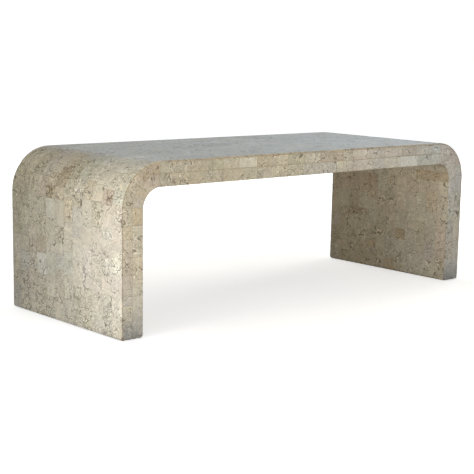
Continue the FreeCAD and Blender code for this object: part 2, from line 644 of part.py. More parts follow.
# Edge bands on the front and the back: two rows of tiles between the outer skin,
# which laps them, and the inner face. t is measured along the outer face.
FRONT_OUTER = [0, 38, 80, 105, 150, 190, 232, 262, 305, 350, 395, 438, 466, 520, 547, 610, 655,
               705, 765, 815, 870, 925, 985, 1045, 1070, 1105, 1170, 1235, 1305, 1365, 1432,
               1470, 1530, 1590, 1620, 1675, 1720, 1765, 1820, 1860, 1906]
FRONT_INNER = [0, 50, 100, 128, 190, 262, 306, 345, 388, 466, 500, 550, 600, 655, 720, 765, 812,
               845, 925, 1045, 1070, 1110, 1185, 1232, 1300, 1372, 1432, 1470, 1540, 1600, 1640,
               1680, 1722, 1760, 1820, 1870]
band_mid = d["wall"] / 2
for face, y_out, sign in (("front", -hd, 1), ("back", hd, -1)):
    y0, y1 = (y_out, y_out + d["stone"]) if sign > 0 else (y_out - d["stone"], y_out)
    for o_a, o_b, fixed in ((d["stone"] + J, band_mid - J, FRONT_OUTER),
                            (band_mid + J, d["wall"], FRONT_INNER)):
        if face == "front":
            row = list(fixed) + [total]
        else:
            row = breaks(total, None, rng, 34.0, 76.0)
        row = [snap(t, outer_band.marks) for t in row]
        zones = tuple("%s_%s" % (face, z) for z in (
            "left_leg_edge_stone", "left_corner_edge_stone", "apron_stone",
            "right_corner_edge_stone", "right_leg_edge_stone"))
        for a, b in zip(row, row[1:]):
            a2, b2 = a + (J if a > 0 else 0.0), b - (J if b < total else 0.0)
            place(zone(outer_band, (a + b) / 2, zones), outer_band.cell(a2, b2, o_a, o_b, y0, y1))

# The outer skin covers the edge tiles, so it runs the full depth.
for name, solids in GROUPS.items():
    o = doc.addObject("Part::Feature", name)
    o.Shape = Part.makeCompound(solids)
    node(o, name)

doc.recompute()

# ---------------------------------------------------------------- tests and output
for o in doc.Objects:
    if any(word in ("Invalid", "Error") for word in o.State):
        raise SystemExit("%s did not recompute: %s" % (o.Label, o.State))
for name, o in NODES.items():
    shape = o.Shape
    if shape.isNull() or not shape.isValid() or not shape.Solids:
        raise SystemExit("%s has no sound shape" % name)
    if abs(sum(q.Volume for q in shape.Solids) - shape.Volume) > 1e-3 * shape.Volume:
        raise SystemExit("%s has loose parts" % name)
if len(NODES) > 60:
    raise SystemExit("too many nodes: %d" % len(NODES))

os.makedirs("parts", exist_ok=True)
for old in os.listdir("parts"):
    if old.endswith(".step") and old[:-5] not in NODES:
        os.remove(os.path.join("parts", old))
for name in sorted(NODES):
    shape = NODES[name].Shape
    shape.exportStep(os.path.join("parts", name + ".step"))
    b = shape.BoundBox
    print("%-32s %3d solids %10.1f mm3  x %.1f..%.1f y %.1f..%.1f z %.1f..%.1f" % (
        name, len(shape.Solids), shape.Volume, b.XMin, b.XMax, b.YMin, b.YMax, b.ZMin, b.ZMax))
print(len(NODES), "nodes,", sum(len(o.Shape.Solids) for o in NODES.values()), "solids")
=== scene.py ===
"""Waterfall coffee table clad in small mosaic stone tiles: its looks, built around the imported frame.

Every stone node of the frame is replaced by one piece that holds the same tiles at the same places,
each with eased and slightly worn edges, its half of the resin joints round it, and a stone of its own.
The carcass (plywood, timber, dowels, screws, glides) keeps the frame's own meshes.
"""

import math
import random

import bpy
import numpy as np
from mathutils import Matrix, Vector


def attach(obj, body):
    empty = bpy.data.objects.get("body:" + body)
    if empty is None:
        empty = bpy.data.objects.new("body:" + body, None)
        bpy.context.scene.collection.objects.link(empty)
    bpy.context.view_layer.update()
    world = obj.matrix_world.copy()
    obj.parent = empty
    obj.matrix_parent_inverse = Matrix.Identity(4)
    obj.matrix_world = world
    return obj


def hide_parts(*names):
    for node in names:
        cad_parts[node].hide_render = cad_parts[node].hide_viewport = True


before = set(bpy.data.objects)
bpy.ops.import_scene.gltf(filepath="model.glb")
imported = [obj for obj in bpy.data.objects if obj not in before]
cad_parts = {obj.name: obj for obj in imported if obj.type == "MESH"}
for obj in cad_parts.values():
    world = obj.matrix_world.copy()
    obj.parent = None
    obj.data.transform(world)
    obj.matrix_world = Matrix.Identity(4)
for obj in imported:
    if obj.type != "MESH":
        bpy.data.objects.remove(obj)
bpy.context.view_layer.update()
scene = bpy.context.scene

# ----------------------------------------------------------------------------- the band
# The table is one band, 60 mm thick, that runs up one leg, over the top and down the other.
HALF = 0.5  # half the flat part of the top, which is also where the bends begin
BEND_Z = 0.2964  # height of the bends' centre
R_OUT = 0.11  # outer radius of the bends
R_IN = 0.05
WALL = 0.06
FOOT = 0.0015  # the legs stand on glides this thick
DEEP = 0.2325  # half the depth
STONE = 0.004
JOINT = 0.00025  # half a joint
LEG = BEND_Z - FOOT


def total(ref):
    return 2 * LEG + math.pi * ref + 2 * HALF


def band(t, o, ref):
    """x and z of a point t along the band from the left foot, o in from its outer face."""
    t = np.asarray(t, float)
    o = np.asarray(o, float)
    arc = ref * math.pi / 2
    far = t > total(ref) / 2
    q = np.where(far, total(ref) - t, t)
    a = np.clip((q - LEG) / ref, 0, math.pi / 2)
    rise = np.minimum(q - LEG, 0)
    run = np.maximum(q - LEG - arc, 0)
    x = -HALF - (R_OUT - o) * np.cos(a) + run
    z = BEND_Z + (R_OUT - o) * np.sin(a) + rise
    return np.where(far, -x, x), z


def unband(x, z, ref):
    """The t and o of points given by x and z."""
    ax = np.abs(x)
    arc = ref * math.pi / 2
    side = np.maximum(ax - HALF, 0)
    up = np.maximum(z - BEND_Z, 0)
    o = R_OUT - np.hypot(side, up)
    a = np.arctan2(up, np.maximum(side, 1e-9))
    q = np.where(
        z < BEND_Z,
        z - FOOT,
        np.where(ax < HALF, LEG + arc + (HALF - ax), LEG + ref * a),
    )
    return np.where(x > 0, total(ref) - q, q), o


def islands(ob):
    """The separate closed solids of a frame mesh, each as an array of its points."""
    me = ob.data
    co = np.empty(len(me.vertices) * 3, np.float32)
    me.vertices.foreach_get("co", co)
    co = co.reshape(-1, 3).astype(float)
    me.calc_loop_triangles()
    tri = np.empty(len(me.loop_triangles) * 3, np.int32)
    me.loop_triangles.foreach_get("vertices", tri)
    tri = tri.reshape(-1, 3)
    _, same = np.unique(np.round(co * 2e5).astype(np.int64), axis=0, return_inverse=True)
    same = same.reshape(-1)
    t = same[tri]
    label = np.arange(same.max() + 1)
    while True:
        low = label[t].min(axis=1)
        new = label.copy()
        for k in range(3):
            np.minimum.at(new, t[:, k], low)
        new = new[new]
        if (new == label).all():
            break
        label = new
    mine = label[same]
    return [co[mine == i] for i in np.unique(mine)]


# ----------------------------------------------------------------------------- kinds of stone
def lin(rgb):
    return [((c / 255 + 0.055) / 1.055) ** 2.4 if c > 10 else c / 255 / 12.92 for c in rgb]


# name: colour, then how much of each: veins, specks, shell arcs, streaks, cracks, white patches, pits, brown stain
LOOKS = {
    "cream": ((214, 204, 183), 0.35, 0.5, 0.35, 0.2, 0.15, 0.35, 0.3, 0.25),
    "sand": ((206, 193, 168), 0.40, 0.6, 0.40, 0.3, 0.20, 0.20, 0.4, 0.35),
    "grey": ((200, 193, 177), 0.40, 0.7, 0.45, 0.3, 0.20, 0.30, 0.3, 0.15),
    "tan": ((195, 176, 146), 0.35, 0.5, 0.30, 0.2, 0.20, 0.10, 0.3, 0.45),
    "ochre": ((192, 165, 124), 0.45, 0.5, 0.30, 0.2, 0.30, 0.05, 0.3, 0.65),
    "pink": ((207, 187, 172), 0.40, 0.4, 0.30, 0.2, 0.20, 0.15, 0.3, 0.25),
    "green": ((193, 192, 170), 0.30, 0.4, 0.30, 0.4, 0.10, 0.25, 0.2, 0.10),
    "lilac": ((195, 186, 180), 0.35, 0.5, 0.35, 0.3, 0.15, 0.25, 0.2, 0.10),
    "olive": ((179, 170, 138), 0.45, 0.6, 0.30, 0.3, 0.25, 0.05, 0.3, 0.40),
    "pale": ((226, 221, 207), 0.15, 0.3, 0.25, 0.3, 0.10, 0.80, 0.2, 0.05),
    "chip": ((218, 211, 194), 0.45, 0.9, 0.60, 0.2, 0.20, 0.80, 0.4, 0.10),
    "shell": ((205, 192, 168), 0.65, 0.6, 1.00, 0.1, 0.30, 0.25, 0.4, 0.30),
    "crack": ((204, 193, 170), 0.70, 0.6, 0.50, 0.1, 1.00, 0.25, 0.5, 0.35),
    "dark": ((181, 165, 137), 0.80, 0.9, 0.60, 0.2, 0.90, 0.10, 0.6, 0.60),
    "brown": ((173, 149, 117), 0.60, 0.8, 0.40, 0.2, 0.40, 0.05, 0.4, 0.80),
    "rust": ((184, 152, 128), 0.80, 0.5, 0.40, 0.1, 0.60, 0.05, 0.4, 0.90),
    "plain": ((205, 192, 170), 0.08, 0.3, 0.10, 0.1, 0.00, 0.10, 0.1, 0.10),
    "streak": ((201, 189, 164), 0.35, 0.5, 0.20, 1.0, 0.20, 0.20, 0.3, 0.35),
    "pitted": ((206, 195, 172), 0.40, 0.8, 0.50, 0.1, 0.40, 0.20, 1.0, 0.30),
}
COMMON = (
    ["cream"] * 9
    + ["sand"] * 9
    + ["grey"] * 7
    + ["tan"] * 4
    + ["ochre"] * 2
    + ["pink"] * 3
    + ["green"] * 3
    + ["lilac"] * 3
    + ["olive"] * 2
    + ["pale"] * 2
    + ["chip"] * 2
    + ["shell"] * 6
    + ["crack"] * 5
    + ["dark"] * 2
    + ["brown"] * 1
    + ["plain"] * 4
    + ["streak"] * 4
    + ["pitted"] * 2
)

WARM = ["tan", "tan", "tan", "pink", "pink", "sand", "sand", "sand", "brown"]

BASE = (203, 196, 177)  # the stone that all of them lean towards
LEAN = 0.42  # how far a tile's colour goes from it to its own kind's
FURTHER = {"brown": 0.55, "ochre": 0.48, "pale": 0.58}  # kinds that go further
FOOT_SHADE = (0.56, 0.59, 0.66)  # painted shade: what is left of the stone's colour at the feet of the narrow front and back edges
WARMER = (1.0, 0.985, 0.925)  # the slabs that the left corner's lower tiles are cut from
INNER_FOOT_SHADE = (0.81, 0.82, 0.82)  # painted shade at the feet of the inner faces
PALER_ABOVE_FOOT = (1.04, 1.06, 1.13)  # and how much paler and bluer the stone is made a little higher up

# A few tiles whose stone is given one by one: (mm along the band, mm from the front edge) on the outer face,
# (mm along the band, mm in from the outer face) on the edge bands, (mm up, mm from the front edge) on the
# right leg's inner face.
OUTER_PICKS = {
    (272, 291): "pale",
    (340, 175): "chip",
    (400, 175): "green",
    (131, 330): "pale",
    (241, 60): "chip",
    (69, 60): "crack",
    (326, 18): "green",
    (330, 97): "plain",
    (323, 58): "rust",
    (311, 291): "ochre",
    (276, 213): "ochre",
    (323, 330): "pink",
    (372, 330): "lilac",
    (368, 370): "olive",
    (204, 410): "olive",
    (204, 445): "olive",
    (205, 370): "pink",
    (146, 252): "green",
    (120, 410): "lilac",
    (120, 445): "lilac",
    (270, 350): "crack",
    (270, 390): "dark",
    (225, 262): "dark",
    (135, 97): "shell",
    (150, 58): "shell",
    (345, 213): "pitted",
    (203, 35): "pitted",
    (260, 97): "crack",
    (285, 175): "lilac",
    (90, 330): "crack",
    (45, 410): "crack",
    (30, 175): "shell",
    (345, 252): "brown",
    (352, 291): "tan",
    (345, 135): "tan",
    (392, 252): "tan",
    (310, 252): "tan",
    (310, 175): "sand",
    (392, 213): "olive",
    (445, 97): "pale",
    (450, 20): "pale",
    (440, 58): "pale",
    (400, 18): "cream",
    (395, 58): "cream",
    (395, 97): "cream",
    (400, 135): "cream",
    (445, 135): "pale",
    (360, 58): "cream",
}
RIGHT_PICKS = {
    (157, 293): "green",
    (252, 293): "rust",
    (205, 293): "plain",
    (255, 330): "tan",
    (60, 370): "tan",
    (262, 240): "green",
    (230, 213): "crack",
    (205, 100): "green",
    (148, 100): "olive",
    (166, 330): "rust",
    (166, 370): "rust",
    (166, 420): "tan",
    (24, 198): "ochre",
    (85, 60): "lilac",
    (166, 62): "grey",
    (100, 293): "shell",
    (252, 248): "shell",
    (252, 150): "crack",
}
# (mm along the cove from its foot, mm from the front edge)
COVE_PICKS = {
    (15, 25): "ochre",
    (15, 60): "tan",
    (60, 25): "cream",
    (60, 60): "sand",
}
EDGE_PICKS = {
    (18, 15): "grey",
    (18, 45): "cream",
    (55, 45): "cream",
    (55, 15): "cream",
    (92, 15): "lilac",
    (133, 45): "cream",
    (135, 15): "pink",
    (170, 15): "pink",
    (175, 45): "tan",
    (205, 15): "pink",
    (240, 15): "tan",
    (284, 45): "ochre",
    (325, 45): "lilac",
    (416, 15): "brown",
    (452, 15): "ochre",
    (430, 45): "pink",
    (505, 15): "crack",
    (735, 15): "pale",
    (790, 15): "tan",
    (345, 15): "olive",
    (375, 45): "tan",
    (560, 15): "tan",
    (590, 45): "tan",
    (640, 15): "olive",
    (660, 45): "tan",
    (897, 15): "olive",
    (985, 45): "lilac",
    (1015, 15): "brown",
    (1057, 15): "ochre",
    (1170, 15): "olive",
    (1208, 45): "lilac",
    (1335, 15): "brown",
    (1450, 15): "green",
    (1450, 45): "green",
    (1560, 15): "rust",
    (1605, 15): "green",
    (1700, 15): "olive",
    (1700, 45): "lilac",
    (1741, 45): "green",
    (1850, 15): "grey",
    (1880, 15): "grey",
    (1915, 15): "grey",
    (1915, 45): "cream",
}

# ----------------------------------------------------------------------------- tiles
ROUND = (0.0, 0.10, 0.30, 0.62, 1.0)  # where the lines of a rounded edge lie, as a share of its radius
ROUND_FOOT = (0.0, 0.04, 0.13, 0.28, 0.50, 0.75, 1.0)
DEEPEST = 0.0033  # how far a foot's rounding goes into the stone


def wave(rng, n=3, low=30.0, high=400.0):
    """A smooth random function of a length in metres, within about -1 to 1."""
    parts = [(rng.uniform(low, high), rng.uniform(0, 7), rng.uniform(0.4, 1)) for _ in range(n)]
    size = sum(p[2] for p in parts)
    return lambda s: sum(a * np.sin(f * s + p) for f, p, a in parts) / size


def clouds(rng, n=14):
    """A smooth random function of two lengths in metres, of about unit spread, 50 to 200 mm from crest to crest."""
    parts = []
    for _ in range(n):
        turn, far = rng.uniform(0, math.pi), 2 * math.pi / rng.uniform(0.05, 0.20)
        parts.append((far * math.cos(turn), far * math.sin(turn), rng.uniform(0, 7)))
    return lambda u, v: sum(np.sin(a * u + b * v + p) for a, b, p in parts) * math.sqrt(2 / n)


class Side:
    """One side of a tile: how far it is eased, with wear and chips along it, and what it meets."""

    def __init__(self, kind, rng, length, foot=0.0052):
        # joint: a resin joint lies beyond it. free: an outer corner of the table. butt: it meets another skin.
        self.kind = kind
        self.rng = rng
        radius = {"joint": 0.00016, "free": 0.0011, "base": foot, "butt": 0.00012}[kind]
        self.radius = radius * rng.uniform(0.85, 1.15)
        self.marks = {"free": ROUND, "base": ROUND_FOOT}.get(kind, (0.0, 1.0))
        self.inset = 0.0098 if kind == "base" else 0.0018
        self.swing = wave(rng, 3, 60, 700)
        self.line = wave(rng, 3, 50, 350)
        self.out = JOINT if kind == "joint" else 0.0
        self.chips = []
        if kind == "free":
            for _ in range(int(length / 0.030) + 1):
                if rng.random() < 0.55:
                    self.chips.append(
                        (rng.uniform(0, length), rng.uniform(0.0010, 0.0030), rng.uniform(0.0003, 0.0013))
                    )
        elif kind == "base":
            # The feet are knocked most at their corners.
            for at in (0.0, length):
                self.chips.append((at, rng.uniform(0.002, 0.004), rng.uniform(0.0003, 0.0014)))
            for _ in range(int(length / 0.040) + 1):
                if rng.random() < 0.5:
                    self.chips.append(
                        (rng.uniform(0, length), rng.uniform(0.001, 0.004), rng.uniform(0.0003, 0.0012))
                    )
        else:
            if rng.random() < 0.16:
                self.chips.append(
                    (rng.choice((0.0, length)), rng.uniform(0.0008, 0.002), rng.uniform(0.0003, 0.0008))
                )

    def ease(self, s):
        """The radius of the easing at s along the side, and how much of it is a chip."""
        r = self.radius * (1 + 0.30 * self.swing(s))
        c = np.zeros_like(s)
        for at, wide, deep in self.chips:
            c += deep * np.exp(-(((s - at) / wide) ** 2))
        return np.minimum(r + c, 0.0094), c

    def wobble(self, s):
        return (0.00004 if self.kind != "joint" else 0.00007) * (1 + self.line(s))


def lines(low, high, a, b, step):
    """The grid lines across a tile from side a to side b, as (base position, side or None, share of its radius)."""
    wide = high - low
    rows = [(low, a, m) for m in a.marks]
    first, last = low + min(a.inset, wide / 3), high - min(b.inset, wide / 3)
    n = max(1, int(math.ceil((last - first) / step)))
    rows += [(first + (last - first) * i / n, None, 0.0) for i in range(n + 1)]
    rows += [(high, b, m) for m in reversed(b.marks)]
    return rows


class Shell:
    """Gathers the tiles of one piece."""

    def __init__(self, more, unlike, cast=(1, 1, 1)):
        self.cast = np.array(cast, float)  # a colour cast over this whole piece: on the edge bands, painted light and shade
        self.more = more  # how much of each of a kind's veins, specks and so on this piece has
        self.unlike = unlike  # how unlike its stones are in colour
        self.drift = wave(random.Random(5), 2, 40, 160)
        self.sky = clouds(random.Random(11))
        self.points, self.faces, self.slots = [], [], []
        self.at, self.tint, self.mixa, self.mixb, self.edge = [], [], [], [], []
        self.count = 0

    def add(self, place, box, sides, steps, look, rng, curved, shade_and_tint_bands, turned, slab):
        """One tile: place maps (u, v, h) to a point, box is its (u0, u1, v0, v1)."""
        u0, u1, v0, v1 = box
        su0, su1, sv0, sv1 = sides
        ul = lines(u0, u1, su0, su1, steps[0])
        vl = lines(v0, v1, sv0, sv1, steps[1])
        nu, nv = len(ul), len(vl)
        ub = np.array([r[0] for r in ul])
        vb = np.array([r[0] for r in vl])
        um = np.array([r[2] for r in ul])
        vm = np.array([r[2] for r in vl])
        iu0 = len(su0.marks)
        iu1 = nu - len(su1.marks)
        iv0 = len(sv0.marks)
        iv1 = nv - len(sv1.marks)
        U = np.repeat(ub[:, None], nv, 1)
        V = np.repeat(vb[None, :], nu, 0)
        drop = np.zeros((nu, nv))
        chip = np.zeros((nu, nv))
        near = np.zeros((nu, nv))

        def fall(r, m):
            return np.minimum(r, DEEPEST) * (1 - np.sqrt(np.maximum(1 - (1 - m) ** 2, 0)))

        r, c = su0.ease(vb - v0)
        w = su0.wobble(vb - v0)
        for i in range(iu0):
            U[i] = u0 + w + r * um[i]
            drop[i] += fall(r, um[i])
            chip[i] += c
            near[i] = 1
        r, c = su1.ease(vb - v0)
        w = su1.wobble(vb - v0)
        for i in range(iu1, nu):
            U[i] = u1 - w - r * um[i]
            drop[i] += fall(r, um[i])
            chip[i] += c
            near[i] = 1
        r, c = sv0.ease(ub - u0)
        w = sv0.wobble(ub - u0)
        for j in range(iv0):
            V[:, j] = v0 + w + r * vm[j]
            drop[:, j] += fall(r, vm[j])
            chip[:, j] += c
            near[:, j] = 1
        r, c = sv1.ease(ub - u0)
        w = sv1.wobble(ub - u0)
        for j in range(iv1, nv):
            V[:, j] = v1 - w - r * vm[j]
            drop[:, j] += fall(r, vm[j])
            chip[:, j] += c
            near[:, j] = 1
        if turned:
            # The foot's corner on the inner side is rounded off in the plane of the narrow face too.
            off = np.clip(1 - (v1 - V) / turned[1], 0, 1)
            cut = turned[0] * (1 - np.sqrt(1 - off**2))
            if su0.kind == "base":
                U += cut * np.clip(1 - (U - u0) / 0.024, 0, 1)
            if su1.kind == "base":
                U -= cut * np.clip(1 - (u1 - U) / 0.024, 0, 1)
        # A tile never lies quite flat: a slight tilt and a soft swell left by grinding.
        a, b = wave(rng, 2, 30, 160), wave(rng, 2, 30, 160)
        su, sv = (U - u0) / (u1 - u0) - 0.5, (V - v0) / (v1 - v0) - 0.5
        tilt = (rng.uniform(-1, 1), rng.uniform(-1, 1))
        swell = 0.000030 * (tilt[0] * su + tilt[1] * sv) + 0.000016 * (a(U) + b(V)) - 0.00007
        top = np.maximum(STONE + swell - drop, 0.0003)
        # The joints' resin stands a little below the stones' faces.
        seat = STONE - 0.00024
        ring = (
            [(i, 0) for i in range(nu)]
            + [(nu - 1, j) for j in range(1, nv)]
            + [(i, nv - 1) for i in range(nu - 2, -1, -1)]
            + [(0, j) for j in range(nv - 2, 0, -1)]
        )
        ri = np.array([p[0] for p in ring])
        rj = np.array([p[1] for p in ring])
        rim_u, rim_v, rim_h = U[ri, rj], V[ri, rj], top[ri, rj]
        du = np.where(ri == 0, -su0.out, 0) + np.where(ri == nu - 1, su1.out, 0)
        dv = np.where(rj == 0, -sv0.out, 0) + np.where(rj == nv - 1, sv1.out, 0)
        # The ledge's outer line is straight and lies in the middle of the joint.
        eu = np.where(ri == 0, u0 - su0.out, np.where(ri == nu - 1, u1 + su1.out, rim_u))
        ev = np.where(rj == 0, v0 - sv0.out, np.where(rj == nv - 1, v1 + sv1.out, rim_v))
        jointed = (du != 0) | (dv != 0)
        ou = np.where(du != 0, eu, rim_u)
        ov = np.where(dv != 0, ev, rim_v)
        h1 = np.where(jointed, np.minimum(rim_h - 0.00003, seat), rim_h * 0.66)
        h2 = np.where(jointed, np.minimum(seat, h1 + 0.00002), rim_h * 0.33)
        m = len(ring)
        base = self.count
        uu = np.concatenate([U.ravel(), rim_u, ou, ou])
        vv = np.concatenate([V.ravel(), rim_v, ov, ov])
        hh = np.concatenate([top.ravel(), h1, h2, np.zeros(m)])
        pts = place(uu, vv, hh)
        # Which way the grid turns decides the order of the corners of each face.
        c0 = place(np.array([u0, u0 + 1e-4, u0]), np.array([v0, v0, v0 + 1e-4]), np.full(3, STONE))
        c1 = place(np.array([u0]), np.array([v0]), np.array([STONE + 1e-4]))
        turn = np.dot(np.cross(c0[1] - c0[0], c0[2] - c0[0]), c1[0] - c0[0]) > 0
        faces, slots = [], []
        for i in range(nu - 1):
            for j in range(nv - 1):
                faces.append((i * nv + j, (i + 1) * nv + j, (i + 1) * nv + j + 1, i * nv + j + 1))
                slots.append(0)
        g = nu * nv
        rim = [p[0] * nv + p[1] for p in ring]
        for k in range(m):
            n = (k + 1) % m
            # Which side of the tile this stretch of the ring is on.
            if k < nu - 1:
                side = sv0
            elif k < nu - 1 + nv - 1:
                side = su1
            elif k < 2 * (nu - 1) + nv - 1:
                side = sv1
            else:
                side = su0
            cut = 1 if side.kind == "joint" else 2
            faces.append((rim[k], g + k, g + n, rim[n]))
            slots.append(0 if side.kind == "joint" else 2)
            faces.append((g + k, g + m + k, g + m + n, g + n))
            slots.append(cut)
            faces.append((g + m + k, g + 2 * m + k, g + 2 * m + n, g + m + n))
            slots.append(cut)
        low = g + 2 * m
        if curved:
            # The underside of a bent tile goes in strips across, so that no face is bent.
            lower = list(range(nu))  # ring places on the v0 side
            upper = [2 * (nu - 1) + (nv - 1) - i for i in range(nu)]  # the same u on the v1 side
            for i in range(nu - 1):
                a1, a2 = lower[i], lower[i + 1]
                b1, b2 = upper[i] % m, upper[i + 1] % m
                if i == 0 and nu > 2:
                    left = [k % m for k in range(b1, m + 1)] if b1 else [0]
                    face = left + [a2, b2] if b1 else [a1, a2, b2, b1]
                elif i == nu - 2:
                    face = [a1] + list(range(a2, b2 + 1)) + [b1]
                else:
                    face = [a1, a2, b2, b1]
                faces.append(tuple(low + k for k in reversed(face)))
                slots.append(2)
        else:
            faces.append(tuple(low + k for k in reversed(range(m))))
            slots.append(2)
        if not turn:
            faces = [tuple(reversed(f)) for f in faces]
        self.faces += [tuple(base + k for k in f) for f in faces]
        self.slots += slots
        self.points.append(pts)
        # Each tile has a stone of its own: a place and a turn in the pattern.
        ang = rng.uniform(0, 2 * math.pi)
        mid = ((u0 + u1) / 2, (v0 + v1) / 2)
        off = [rng.uniform(-4, 4) for _ in range(3)]
        if slab:
            mid, ang, off = slab
        ca, sa = math.cos(ang), math.sin(ang)
        lu, lv = uu - mid[0], vv - mid[1]
        self.at.append(
            np.stack([ca * lu - sa * lv + off[0], sa * lu + ca * lv + off[1], hh + off[2]], 1)
        )
        colour, *amounts = LOOKS[look]
        jig = [rng.gauss(0, 1) for _ in range(3)]
        lean = max(FURTHER.get(look, LEAN) * self.unlike, LEAN * self.unlike)
        col = np.array(lin(BASE)) * (1 - lean) + np.array(lin(colour)) * lean
        col = col * (1 + 0.030 * self.unlike * jig[0]) * np.array([1 + 0.005 * jig[1], 1, 1 - 0.010 * jig[1] + 0.006 * jig[2]])
        col = np.clip(col, 0.02, 0.9)
        n = len(uu)
        tint = np.repeat(np.append(col, 1)[None], n, 0)
        # Broad soft clouds that run on from tile to tile.
        tone = self.sky(uu, vv)
        # The piece's cast, which on the edge bands is painted light and shade.
        tint[:, :3] *= self.cast * (1 + tone[:, None] * np.array([0.030, 0.032, 0.038]))
        # Bands along the table: painted shade darkens and greys the foot of the narrow edges, and a little of the
        # inner faces' feet; above it on the edges the stone is made paler and bluer, and the upper left leg and the
        # left corner's lower tiles are tinted warmer.
        q = np.minimum(uu, total(shade_and_tint_bands[0]) - uu) + 0.006 * self.drift(vv)
        for cast, low_, high_ in shade_and_tint_bands[1]:
            k = np.clip((q - low_) / (high_ - low_), 0, 1)
            tint[:, :3] *= np.array(cast) + (1 - np.array(cast)) * k[:, None]
        self.tint.append(tint)
        amounts = [min(1.0, max(0.0, x * more * rng.uniform(0.6, 1.4))) for x, more in zip(amounts, self.more)]
        self.mixa.append(np.repeat(np.array(amounts[:4])[None], n, 0))
        self.mixb.append(np.repeat(np.array(amounts[4:])[None], n, 0))
        e = near + chip * 900
        er = e[ri, rj]
        self.edge.append(np.concatenate([e.ravel(), er, er, er]))
        self.count += n

    def build(self, name, materials):
        me = bpy.data.meshes.new(name)
        pts = np.concatenate(self.points)
        me.from_pydata([tuple(p) for p in pts], [], self.faces)
        for mat in materials:
            me.materials.append(mat)
        me.polygons.foreach_set("material_index", np.array(self.slots, np.int32))
        me.polygons.foreach_set("use_smooth", np.ones(len(self.faces), bool))
        for key, data in (("stone_tint", self.tint), ("stone_mix", self.mixa), ("stone_more", self.mixb)):
            layer = me.attributes.new(key, "FLOAT_COLOR", "POINT")
            layer.data.foreach_set("color", np.concatenate(data).astype(np.float32).ravel())
        layer = me.attributes.new("stone_at", "FLOAT_VECTOR", "POINT")
        layer.data.foreach_set("vector", np.concatenate(self.at).astype(np.float32).ravel())
        layer = me.attributes.new("stone_edge", "FLOAT", "POINT")
        layer.data.foreach_set("value", np.concatenate(self.edge).astype(np.float32))
        me.update()
        me.set_sharp_from_angle(angle=math.radians(50))
        ob = bpy.data.objects.new(name, me)
        scene.collection.objects.link(ob)
        return ob


